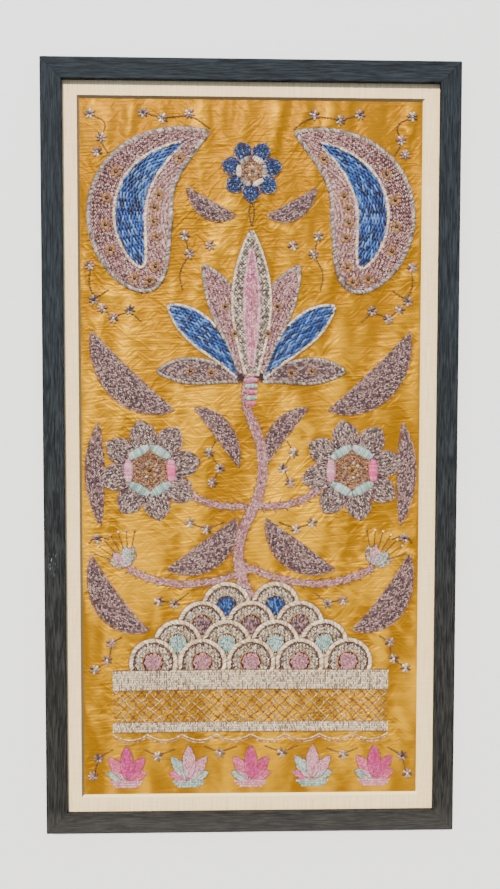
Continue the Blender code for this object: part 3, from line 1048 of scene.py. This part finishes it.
class Work:
    """Stitches that belong to one piece of embroidery."""

    def __init__(self, name):
        self.name = name
        self.runs = []
        self.knots = []

    def sew(self, starts, ends, width, rise, hank, spread=0.10):
        """Adds stitches between rows of points in millimetres."""
        starts, ends = np.atleast_2d(starts), np.atleast_2d(ends)
        count = len(starts)
        if count:
            sizes = np.column_stack((np.broadcast_to(width, count), np.broadcast_to(rise, count)))
            self.runs.append((starts, ends, sizes, pick(hank, count, spread)))

    def knot(self, centres, width, rise, hank):
        """Adds round knots."""
        centres = np.atleast_2d(centres)
        count = len(centres)
        if count:
            sizes = np.full((count, 3), (width, width, rise), float)
            self.knots.append((centres, sizes, pick(hank, count)))

    def lay_strands(self):
        """Lays the runs on the silk: places, turns, sizes and colours."""
        starts, ends, sizes, colours = (np.concatenate(part) for part in zip(*self.runs))
        middle = (starts + ends) / 2
        run = ends - starts
        length = np.maximum(np.hypot(*run.T), SHORTEST_RUN)
        low, high = surface_height(*starts.T), surface_height(*ends.T)
        level = np.maximum(surface_height(*middle.T), (low + high) / 2)
        turns = np.column_stack((np.zeros(len(run)), -np.arctan2(high - low, length),
                                 np.arctan2(run[:, 1], run[:, 0])))
        tall = fit_under(level + TILT_SHARE * np.abs(high - low), sizes[:, 1])
        sizes = np.column_stack((length * RUN_LAP, sizes[:, 0], tall)) * MM
        return on_silk(middle, level), turns, sizes, colours

    def lay_knots(self):
        """Lays the knots on the silk, each turned by chance."""
        centres, sizes, colours = (np.concatenate(part) for part in zip(*self.knots))
        level = surface_height(*centres.T)
        sizes[:, 2] = fit_under(level, sizes[:, 2])
        turns = np.column_stack((np.zeros((len(centres), 2)), chance.uniform(0, 3, len(centres))))
        return on_silk(centres, level), turns, sizes * MM, colours

    def finish(self):
        """Makes the piece's meshes, its strands and its knots, and lets them ride."""
        made = [make_copies(self.name, copy_strands, *self.lay_strands(), cotton)]
        if self.knots:
            made.append(make_copies(self.name + "_knots", copy_knots, *self.lay_knots(), cotton))
        for piece in made:
            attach(piece, "root")
        print(self.name, [len(piece.data.polygons) for piece in made], "faces")
        return made


embroidery = []
print("a strand may rise", round((CEILING - FLAT_TOP) / MM, 2), "mm above the flat silk")

# %% [markdown]
# ## Ways of filling a shape
# Four ways are enough. Rows of running stitches follow the middle line and stagger like bricks.
# Satin slants inwards from the outline and makes a rope-like rim. A stem line follows an outline or
# a curve. A bullion is a raised roll, which is satin over a narrow pad. A stitch that another motif
# covers is left out. A hand is never quite even, so every way strays a little by chance.

# %% Lines to sew along
LINE_STEPS = 200
OUTLINE_STEPS = 160


def uncovered(points, covers):
    """Which points lie clear of the motifs worked over this one."""
    clear = np.ones(len(points), bool)
    for cover in covers:
        clear &= depth_inside(cover, *points.T) < 0.5
    return clear


def distances(path):
    """How far along a path each of its points lies."""
    return np.concatenate(([0], np.cumsum(np.hypot(*np.diff(path, axis=0).T))))


def points_at(even, run, path):
    """The points at these distances along a path."""
    return np.column_stack([np.interp(even, run, path[:, axis]) for axis in (0, 1)])


def along_line(motif, spacing):
    """Evenly spaced places on the middle line: their shares, points and directions."""
    shares = np.linspace(0, 1, LINE_STEPS)
    run = distances(middle_line(motif, shares)[0])
    count = max(int(run[-1] / spacing), 1)
    even = np.interp((np.arange(count) + 0.5) * run[-1] / count, run, shares)
    return (even, *middle_line(motif, even))


def sideways(ways):
    """The directions turned a quarter to the left."""
    return np.column_stack((-ways[:, 1], ways[:, 0]))


def outline(motif, spacing):
    """Even points round a motif, and the inward direction at each."""
    shares = (1 - np.cos(np.linspace(0, np.pi, OUTLINE_STEPS))) / 2
    points, ways = middle_line(motif, shares)
    reach = (motif.width * half_widths(motif.profile, shares))[:, None]
    left = points + sideways(ways) * reach
    right = points - sideways(ways) * reach
    loop = np.concatenate((left, right[::-1], left[:1]))
    run = distances(loop)
    count = int(run[-1] / spacing)
    ring = points_at(np.arange(count) * run[-1] / count, run, loop)
    travel = np.roll(ring, -1, 0) - np.roll(ring, 1, 0)
    travel = travel / np.maximum(np.hypot(*travel.T), 1e-6)[:, None]
    return ring, -sideways(travel)


def inset(motif, deep):
    """The same shape drawn in by this many millimetres all round."""
    start, bend, end = (Vector(p) for p in (motif.start, motif.bend, motif.end))
    first = min(deep / ((bend - start).length + (end - bend).length), 0.45)
    last = 1 - first
    near, far = start.lerp(bend, first), bend.lerp(end, first)
    return motif._replace(start=tuple(near.lerp(far, first)), bend=tuple(near.lerp(far, last)),
                          end=tuple(start.lerp(bend, last).lerp(bend.lerp(end, last), last)),
                          width=motif.width - deep)


def named(*kinds):
    """All motifs of these kinds."""
    return [motif for motif in motifs if motif.kind in kinds]


print("a stem line round a leaf takes", len(outline(HALF_MOTIFS[4], 4.4)[0]), "stitches")

# %% Rows of running stitches
STRAY_ALONG = 0.8
STRAY_ASIDE = 0.25
STRAY_LEAN = 0.13


def fill_rows(work, motif, hanks, pitch=1.6, stitch=4.0, width=2.1, rise=1.0, slant=0.0, margin=0.8,
              covers=()):
    """Staggered running stitches along the middle line, leaned by the slant in alternate rows."""
    shares, middle, ways = along_line(motif, stitch)
    count, rows = len(shares), int(motif.width / pitch) + 1
    room = motif.width * half_widths(motif.profile, shares) - margin
    for row in range(-rows, rows + 1):
        step = (row % 2) * 0.5 * stitch + chance.uniform(-STRAY_ALONG, STRAY_ALONG, count)
        offset = row * pitch + chance.uniform(-STRAY_ASIDE, STRAY_ASIDE, count)
        centres = middle + ways * step[:, None] + sideways(ways) * offset[:, None]
        keep = (np.abs(offset) < room) & (depth_inside(motif, *centres.T) > margin * 0.5)
        keep &= uncovered(centres, covers)
        lean = np.radians(slant if row % 2 else -slant) + chance.uniform(-STRAY_LEAN, STRAY_LEAN, count)
        turned = ways * np.cos(lean)[:, None] + sideways(ways) * np.sin(lean)[:, None]
        reach = turned * (stitch * chance.uniform(0.46, 0.56, count))[:, None]
        work.sew((centres - reach)[keep], (centres + reach)[keep],
                 width * chance.uniform(0.85, 1.1, keep.sum()), rise, hanks[row % len(hanks)])


print("rows stray by", STRAY_ASIDE, "mm")

# %% Edges, lines and rolls
LINE_LAP = 0.12
SATIN_WIDTH = 1.8
SATIN_LEAN = 0.6
CURVE_STITCH = 4.2
CURVE_ROUNDS = 4
ROLL_PITCH = 1.7
ROLL_LANES = (-0.3, 0.0, 0.3)


def edge_line(work, motif, hank, stitch=4.4, width=1.3, rise=0.9, covers=()):
    """A stem line round a motif."""
    ring, _ = outline(motif, stitch)
    after = np.roll(ring, -1, 0)
    keep = uncovered((ring + after) / 2, covers)
    lap = (after - ring) * LINE_LAP
    work.sew((ring - lap)[keep], (after + lap)[keep], width, rise, hank)


def edge_satin(work, motif, hank, deep=5.0, pitch=1.9, rise=1.4, covers=()):
    """A band of slanted satin stitches that point inwards from the outline, like a rope."""
    ring, inward = outline(motif, pitch)
    slanted = inward + SATIN_LEAN * sideways(inward)
    inner = ring + slanted * deep * chance.uniform(0.85, 1.1, (len(ring), 1))
    keep = uncovered(ring, covers) & (depth_inside(motif, *inner.T) > deep * 0.4)
    work.sew(ring[keep], inner[keep], SATIN_WIDTH, rise, hank, 0.2)


def side_line(work, motif, side, spacing, half, width, rise, hank, covers=()):
    """A line of stitches along a stem's left (1) or right (-1) side, and where it lies."""
    _, points, ways = along_line(motif, spacing)
    edge = points + sideways(ways) * motif.width * side
    keep = uncovered(edge, covers)
    work.sew((edge - ways * half)[keep], (edge + ways * half)[keep], width, rise, hank)
    return edge, ways, keep


def line_through(work, points, hank, width, rise):
    """A stem line along a smooth curve through a few points."""
    smooth = np.array(points, float)
    for _ in range(CURVE_ROUNDS):
        before, after = smooth[:-1], smooth[1:]
        cut = np.stack((0.75 * before + 0.25 * after, 0.25 * before + 0.75 * after), 1).reshape(-1, 2)
        smooth = np.concatenate((smooth[:1], cut, smooth[-1:]))
    run = distances(smooth)
    even = np.linspace(0, run[-1], max(int(run[-1] / CURVE_STITCH), 1) + 1)
    path = points_at(even, run, smooth)
    work.sew(path[:-1], path[1:], width, rise, hank)
    return path


def way_at(angle):
    """The direction at this angle from the right."""
    return np.array((math.cos(angle), math.sin(angle)))


def bullion(work, centre, angle, hank, length, across):
    """A raised roll of tight loops with small seed stitches on its back."""
    way = way_at(angle)
    side = np.array((-way[1], way[0]))
    steps = (np.arange(int(length / ROLL_PITCH)) + 0.5) * ROLL_PITCH - length / 2
    middle = np.array(centre, float) + steps[:, None] * way
    half = across / 2 * np.sqrt(np.clip(1.15 - (2 * steps / length) ** 2, 0.3, 1))[:, None] * side
    rise = min(1.2 + across * 0.16, 3.0)
    work.sew(middle - half, middle + half + way * 0.8, 2.0, rise, hank, 0.08)
    seeded = middle[::2]
    for lane in ROLL_LANES:
        seeds = seeded + side * across * lane + way * chance.uniform(-1, 1, (len(seeded), 1))
        lift = rise * math.sqrt(1 - (2 * lane) ** 2) + 0.5
        work.sew(seeds - way, seeds + way * 0.9 + side * 0.6, 1.3, lift, "plum" if lane else "silver")


print("a roll has a loop every", ROLL_PITCH, "mm")

# %% [markdown]
# ## The two sprays
# A spray has a body of short seed-like strands in mauve and plum, and satin in silver thread makes
# its rim firm. Gold flowers with a dark knot are set in it, and a blue drop edged with white sits in
# the middle. Long loose strands make the blue shine.

# %% Sprays
FLOWER_SPACING = 28.0
FLOWER_CLEAR = 16.0
FLOWER_HEART = 2.4
FLOWER_THREADS = ("gold", "brown", "gold")
SPRAY_THREADS = ("mauve", "plum", "mauve", "rose_grey", "plum", "mauve")


def around(centre, radius, count, turn=0.0):
    """Points round a centre, their directions outwards and their angles."""
    angles = turn + np.arange(count) * 2 * np.pi / count
    ways = np.column_stack((np.cos(angles), np.sin(angles)))
    return np.array(centre) + ways * radius, ways, angles


def gold_flower(work, centre, radius):
    """Rays of gold and brown round a dark knot, with a small silver knot on it as a painted highlight."""
    for number, hank in enumerate(FLOWER_THREADS):
        inner, ways, _ = around(centre, FLOWER_HEART, 5, number * 0.42 + 0.1)
        outer = inner + ways * (radius - FLOWER_HEART) * chance.uniform(0.8, 1.1)
        work.sew(inner, outer, 2.8, 2.0, hank)
    work.knot(np.array(centre, float), 6.4, 4.4, "navy")
    # A small silver knot on the dark one is a painted highlight.
    work.knot(np.array(centre, float) + 0.7, 2.4, 6.0, "silver")


def scatter_flowers(work, motif, covers):
    """Gold flowers on a staggered lattice inside a shape."""
    _, points, ways = along_line(motif, FLOWER_SPACING)
    for row in range(-3, 4):
        shift = ways * (FLOWER_SPACING / 2 * (row % 2))
        middles = points + sideways(ways) * row * FLOWER_SPACING * 0.62 + shift
        keep = (depth_inside(motif, *middles.T) > FLOWER_CLEAR) & uncovered(middles, covers)
        for centre in middles[keep]:
            gold_flower(work, centre, 8.5)


def work_spray(work, motif):
    """Body, rim, flowers and the blue drop of one spray."""
    core = inset(motif, 42)
    fill_rows(work, inset(motif, 4), SPRAY_THREADS, pitch=1.68, stitch=3.7, slant=18, covers=[core])
    edge_satin(work, motif, "silver", deep=5.5)
    edge_line(work, motif, "plum", width=1.6)
    edge_line(work, inset(motif, 6), "plum", width=1.5)
    scatter_flowers(work, motif, [inset(motif, 29)])
    edge_satin(work, inset(motif, 37), "white", deep=4.5, pitch=1.7, rise=1.6)
    fill_rows(work, inset(core, -1), ("blue",), pitch=2.3, stitch=12.0, width=3.4, slant=5, rise=1.8)


sprays = Work("spray_stitches")
for motif in named("spray"):
    work_spray(sprays, motif)
embroidery += sprays.finish()

# %% [markdown]
# ## Leaves
# A leaf is shaded by mixing: rows of a paler and a darker hank lie side by side and lean to opposite
# sides, with a vein down the middle. A thin dark line closes the edge.

# %% Leaves
VEIN = (1.6, 1.6, "plum")


def work_leaf(work, motif, covers):
    """Leaning rows, a vein and an edge."""
    fill_rows(work, motif, ("dusk", "plum"), pitch=1.68, stitch=3.8, slant=28, covers=covers)
    shares, points, ways = along_line(motif, 4.0)
    keep = uncovered(points, covers) & (shares > 0.05) & (shares < 0.93)
    work.sew((points - ways * 2.4)[keep], (points + ways * 2.4)[keep], *VEIN)
    edge_line(work, motif, "plum", width=1.6, covers=covers)


bloom_petals = [petal for bloom in named("bloom") for petal in petals_round(bloom)]
leaves = Work("leaf_stitches")
for motif in named("leaf"):
    work_leaf(leaves, motif, bloom_petals)
embroidery += leaves.finish()

# %% [markdown]
# ## Trunk and branches
# The trunk is worked in close rows over padding, in dusty rose with brown edges and thorns. A short
# joint closes the fork where the lowest branches leave it.

# %% Trunk
STEM_EDGE = (1.4, 1.0, "brown")
THORN = (1.8, 1.2, "brown")
JOINT = Motif("branch", (-16, -164), (-6, -171), (6, -173), 5, "stem", 0.8)


def work_stem(work, motif, covers):
    """Close rows along a stem with brown edges and small thorns."""
    fill_rows(work, motif, ("rose_grey", "mauve", "rose_grey"), stitch=4.2, slant=20, rise=1.5, margin=0.2,
              covers=covers)
    for side in (-1, 1):
        edge, ways, keep = side_line(work, motif, side, 4.0, 2.3, *STEM_EDGE, covers)
        thorn = keep & (np.arange(len(edge)) % 4 == (0 if side > 0 else 2))
        tips = edge + sideways(ways) * side * 4.2 + ways * 3.6
        work.sew(edge[thorn], tips[thorn], *THORN)


trunk = Work("trunk_stitches")
for motif in [JOINT] + named("branch", "trunk"):
    work_stem(trunk, motif, bloom_petals + named("bloom", "scale0"))

# %% [markdown]
# ## Fan
# At the trunk's head a fan of petals opens: mauve at its foot, blue edged with white next, mauve
# again, and a tall silver one in herringbone. Each petal leaves out what the later ones cover.

# %% Fan
MIXED = {"slant": 30}
SHINING = {"pitch": 2.3, "stitch": 11.0, "width": 3.4, "slant": 8, "rise": 1.7}
HERRINGBONE = {"pitch": 2.3, "stitch": 4.8, "width": 2.5, "slant": 34, "rise": 1.7}
FAN = (
    ("fan_low", ("dusk", "plum"), "silver", MIXED),
    ("fan_side", ("blue",), "white", SHINING),
    ("fan_high", ("mauve", "plum", "rose_grey"), "silver", MIXED),
    ("fan_top", ("silver", "slate", "silver"), "white", HERRINGBONE),
)
FOOT_TOP = 106
FOOT_PITCH = 8.5


def work_petal(work, motif, body, rim, way_of_filling, covers):
    """A body of leaning rows, a rim of satin and a brown edge."""
    fill_rows(work, inset(motif, 3), body, covers=covers, **way_of_filling)
    edge_satin(work, motif, rim, deep=4.5, pitch=1.7, covers=covers)
    edge_line(work, motif, "brown", width=1.3, covers=covers)


fan = Work("fan_stitches")
for level, (kind, *looks) in enumerate(FAN):
    for motif in named(kind):
        work_petal(fan, motif, *looks, named(*[later[0] for later in FAN[level + 1:]]))
for motif in named("fan_top"):
    heart = inset(motif, 17)
    edge_satin(fan, heart, "blush", deep=4.0, rise=1.8)
    fill_rows(fan, inset(heart, 3), ("magenta", "pink"), rise=1.6)
for motif in named("fan_high", "fan_low"):
    for share in (0.35, 0.6):
        gold_flower(fan, middle_line(motif, [share])[0][0], 6.0)
for step in range(5):
    bullion(fan, (0, FOOT_TOP - step * FOOT_PITCH), 0.0, ("pink", "mint")[step % 2], 22 - step * 2, 8.0)
embroidery += trunk.finish() + fan.finish()

# %% [markdown]
# ## Blossoms
# Pointed petals lie round a ring of padded rolls in pink and pale green, with a heart of knots.
# Rolls are the highest strands in the panel, so they catch the light first. The crown above the
# fan is a smaller blossom in blue.

# %% Blossoms
HEART_SHARE = 0.42
HEART_KNOTS = ((8.5, 9, "silver"), (4.5, 5, "gold"), (0, 1, "navy"))
BLOSSOMS = (
    ("bloom", ("dusk", "silver", "plum"), ("pink", "mint", "mint", "blush", "mint", "mint"), (33, 15)),
    ("crown", ("blue", "blue", "navy"), ("silver", "white") * 3, (18, 9)),
)


def work_bloom(work, motif, hanks, rolls, roll_size):
    """Petals, rolls and heart of one blossom."""
    centre = motif.bend
    reach = PETALS[motif.kind][1]
    heart = disc("heart", centre, reach * HEART_SHARE)
    for petal in petals_round(motif):
        fill_rows(work, petal, hanks, slant=22, covers=[heart])
        edge_line(work, petal, "plum", width=1.6, rise=1.2, covers=[heart])
    fill_rows(work, heart, ("plum", "gold"), stitch=3.0, slant=35)
    places, _, angles = around(centre, heart.width, len(rolls))
    for place, angle, hank in zip(places, angles, rolls):
        bullion(work, place, angle + math.pi / 2, hank, *roll_size)
    for radius, count, hank in HEART_KNOTS:
        work.knot(around(centre, radius * reach / 60, count)[0], 5.0, 4.2, hank)


blooms = Work("bloom_stitches")
for kind, *looks in BLOSSOMS:
    for motif in named(kind):
        work_bloom(blooms, motif, *looks)
embroidery += blooms.finish()

# %% [markdown]
# ## Mound
# The mound is a stack of scales. Each row hides the lower half of the row behind it, so the rows
# are worked from the top down and stitches that would be hidden are left out.

# %% Mound
SCALE_CORES = ("blue", "plum", "mint", "rose_grey")


def work_scale(work, motif, hank, covers):
    """A rim of satin, a brown line and a coloured core."""
    edge_satin(work, motif, "white", deep=7.0, covers=covers)
    edge_line(work, motif, "brown", width=1.6, covers=covers)
    edge_line(work, inset(motif, 8), "brown", width=1.6, covers=covers)
    core = inset(motif, 20)
    fill_rows(work, inset(motif, 9), ("silver", "silver", "white"), slant=30, covers=[*covers, core])
    edge_line(work, core, "gold", width=1.9, rise=1.6, covers=covers)
    fill_rows(work, inset(core, 2), (hank,), slant=10, covers=covers)


mound = Work("mound_stitches")
for level in range(len(SCALE_ROWS)):
    front = named("bar", *["scale%d" % later for later in range(level + 1, len(SCALE_ROWS))])
    for motif in named("scale%d" % level):
        work_scale(mound, motif, SCALE_CORES[level], front)
embroidery += mound.finish()

# %% [markdown]
# ## Bars and trellis
# Two bars of brickwork hold a band of diamonds. The diamonds are laid thread that wanders a little,
# held down by a knot wherever two threads cross. Two wavy lines finish the lower bar.

# %% Bars and trellis
BAR_EDGE = (1.8, 1.2, "brown")
TRELLIS_TOP = -351.0
TRELLIS_BOTTOM = -401.0
TRELLIS_REACH = 204.0
TRELLIS_CELL = 12.5
TRELLIS_PAIRS = (("brown", "cream"), ("gold", "bark"))
WAVE_DROP = 9.0
WAVE_PITCH = 51.0
WAVES = ((-417.5, "white"), (-421.5, "mauve"))


def work_bar(work, motif):
    """Brickwork of short upright strands between brown lines."""
    for row in np.arange(-motif.width + 2.0, motif.width - 1.0, 3.6):
        _, points, ways = along_line(motif, 1.75)
        middle = points + sideways(ways) * (row + chance.uniform(-0.3, 0.3, (len(points), 1)))
        lean = sideways(ways) * 2.2 + ways * chance.uniform(-0.7, 0.7, (len(points), 1))
        for part, hank in enumerate(("white", "slate")):
            work.sew((middle - lean)[part::2], (middle + lean)[part::2], 1.8, 1.5 - part * 0.3, hank, 0.2)
    for side in (-1, 1):
        side_line(work, motif, side, 4.4, 2.5, *BAR_EDGE)


def work_trellis(work):
    """Two sets of slanted threads and the knots at their crossings."""
    depth = TRELLIS_TOP - TRELLIS_BOTTOM
    levels = np.linspace(0, depth, 9)
    starts = np.arange(-TRELLIS_REACH - depth, TRELLIS_REACH + depth, TRELLIS_CELL)
    for slope in (1, -1):
        for number, start in enumerate(starts):
            x = slope * (start + levels) + chance.uniform(-2.2, 2.2, len(levels))
            for hank, aside in zip(TRELLIS_PAIRS[number % 2], (-0.8, 0.8)):
                y = TRELLIS_TOP - levels + chance.uniform(-0.5, 0.5, len(levels))
                points = np.column_stack((x + aside, y))
                inside = np.abs(points[:, 0]) < TRELLIS_REACH
                whole = inside[:-1] & inside[1:]
                work.sew(points[:-1][whole], points[1:][whole], 1.3, 1.3, hank, 0.35)
    for level, y in enumerate(TRELLIS_TOP - levels[1:-1]):
        x = np.arange(-TRELLIS_REACH + TRELLIS_CELL / 2 * (level % 2), TRELLIS_REACH, TRELLIS_CELL)
        work.knot(np.column_stack((x, np.full(len(x), y))), 2.0, 2.0, ("cream", "gold")[level % 2])


def work_wave(work, y, hank):
    """A wavy line under a bar."""
    x = np.linspace(-TRELLIS_REACH, TRELLIS_REACH, 130)
    path = np.column_stack((x, y - WAVE_DROP * np.abs(np.sin(np.pi * x / WAVE_PITCH)) ** 0.8))
    work.sew(path[:-1], path[1:], 2.0, 1.4, hank)


bars = Work("bar_stitches")
for motif in named("bar"):
    work_bar(bars, motif)
work_trellis(bars)
for y, hank in WAVES:
    work_wave(bars, y, hank)
embroidery += bars.finish()

# %% [markdown]
# ## Lotus row
# Five open buds stand in a row near the lower edge. Petals in pink, magenta and pale green rise from
# a small cup, which brings the blossom colours down to the foot of the panel.

# %% Lotus row
LOTUS_Y = -494.0
LOTUS_PITCH = 92.0
LOTUS_PETALS = ((-1.15, 33, 7.5), (1.15, 33, 7.5), (-0.62, 46, 9), (0.62, 46, 9), (0.0, 54, 10))
LOTUS_HANKS = (("mint", "pink", "magenta", "blush"), ("pink", "mint", "blush", "mint"))


def work_lotus(work, x, hanks):
    """Petals from the outside in, and a cup below them."""
    root = np.array((x, LOTUS_Y + 5))
    for number, (lean, reach, half_width) in enumerate(LOTUS_PETALS):
        way = np.array((math.sin(lean), math.cos(lean)))
        petal = Motif("petal", tuple(root), tuple(root + way * reach / 2 + (0, 3)),
                      tuple(root + way * reach), half_width, "leaf", 1.0)
        fill_rows(work, petal, (hanks[(number + 1) // 2],), rise=1.2 + number * 0.1)
        edge_line(work, petal, "brown", width=1.3, stitch=3.6, rise=1.3 + number * 0.1)
    for row in range(3):
        reach = 24 - row * 4.0
        steps = np.arange(-reach, reach, 2.2)
        points = np.column_stack((x + steps, np.full(len(steps), LOTUS_Y + 4.5 - row * 3.6)))
        work.sew(points - (0, 1.9), points + (0.6, 1.9), 2.3, 1.9, hanks[3])


lotus_row = Work("lotus_stitches")
for place in range(-2, 3):
    work_lotus(lotus_row, place * LOTUS_PITCH, LOTUS_HANKS[place % 2])

# %% [markdown]
# ## Tendrils, stars and buds
# The empty silk is held by thin tendrils with star flowers on them. A star is seven fat strands
# round a knot. The branch ends carry buds with long stamens.

# %% Tendrils, stars and buds
TENDRILS = (
    ((60, 466), (88, 486), (128, 480), (154, 488)),
    ((206, 430), (218, 448), (206, 474), (230, 484)),
    ((206, 236), (226, 222), (236, 244), (232, 268)),
    ((100, 236), (106, 262), (90, 286), (96, 312)),
    ((160, 190), (176, 206), (200, 196), (214, 208)),
    ((52, 18), (62, 0), (46, -22), (56, -42)),
    ((40, -102), (66, -112), (88, -104)),
    ((208, -128), (228, -120), (238, -134)),
    ((190, -272), (206, -280), (208, -306), (228, -318)),
    ((92, -206), (112, -222), (134, -218)),
    ((70, -436), (46, -446), (20, -436)),
    ((160, -440), (138, -450), (112, -440)),
    ((204, -440), (226, -452), (232, -478)),
    ((0, 328), (-5, 350), (0, 364)),
)
STARS = (
    (90, 487), (128, 480), (156, 488), (222, 432), (216, 452), (232, 486), (228, 221), (234, 270),
    (90, 288), (97, 314), (176, 207), (200, 195), (216, 209), (62, 0), (46, -23), (57, -44),
    (66, -113), (90, -103), (226, -126), (206, -281), (212, -306), (230, -320),
    (113, -223), (136, -219), (46, -447), (138, -451), (226, -453), (234, -480), (60, 300),
)
STAR_HANKS = (("mauve", "white"), ("slate", "silver"), ("dusk", "navy"), ("rose_grey", "white"))
BUD = (180, -166)
BUD_WAY = 1.05
BUD_PETALS = ((-0.75, "silver"), (0.75, "silver"), (-0.35, "mint"), (0.35, "blush"))


def work_star(work, centre, hank, heart):
    """Seven fat strands in three hanks round a knot."""
    inner, ways, _ = around(centre, 1.8, 7, chance.uniform(0, 1))
    for part, shade in enumerate(("plum", hank, "silver")):
        work.sew(inner[part::3], (inner + ways * 6.2)[part::3], 3.6, 2.0, shade, 0.3)
    work.sew(inner + ways * 2.5, inner + ways * 7.0, 1.5, 0.9, "bark")
    work.knot(np.array(centre, float), 4.2, 3.6, heart)


def work_bud(work, flip):
    """Four petals and seven stamens with seeds at their tips."""
    centre = np.array(BUD, float) * (flip, 1)
    middle_angle = BUD_WAY if flip > 0 else math.pi - BUD_WAY
    for lean, hank in BUD_PETALS:
        way = way_at(middle_angle + lean)
        petal = Motif("petal", *(tuple(centre + way * reach) for reach in (0, 14, 30)), 8, "leaf", 1)
        fill_rows(work, petal, (hank,))
        edge_line(work, petal, "plum", width=1.4, stitch=3.8)
    for lean in np.linspace(-0.7, 0.7, 7):
        stamen = [centre + way_at(middle_angle + lean) * reach for reach in (26, 40, 52)]
        path = line_through(work, stamen, "bark", 1.8, 1.3)
        work.knot(path[-1], 4.0, 2.6, ("white", "brown")[int(abs(lean) * 10) % 2])


star_work = Work("star_stitches")
for flip in (-1, 1):
    for path in TENDRILS:
        line_through(star_work, [(flip * x, y) for x, y in path], "bark", 2.2, 1.4)
    for number, (x, y) in enumerate(STARS):
        work_star(star_work, (flip * x, y), *STAR_HANKS[number % len(STAR_HANKS)])
    work_bud(star_work, flip)
embroidery += lotus_row.finish() + star_work.finish()
print(sum(len(piece.data.polygons) for piece in embroidery), "faces of thread")
thread_top = max(corners(piece)[:, 2].max() for piece in embroidery)
print("thread stays", round((glass_low.z - thread_top) / MM, 2), "mm below the glass")

# %% [markdown]
# ## Last steps
# The silk is stretched flat over the board by the mat's grip, so its flat size is that of the
# package inside the rabbets. The units of the stitches have done their work and are removed.

# %% Finish
for unit in (strand_unit, knot_unit):
    bpy.data.objects.remove(unit)
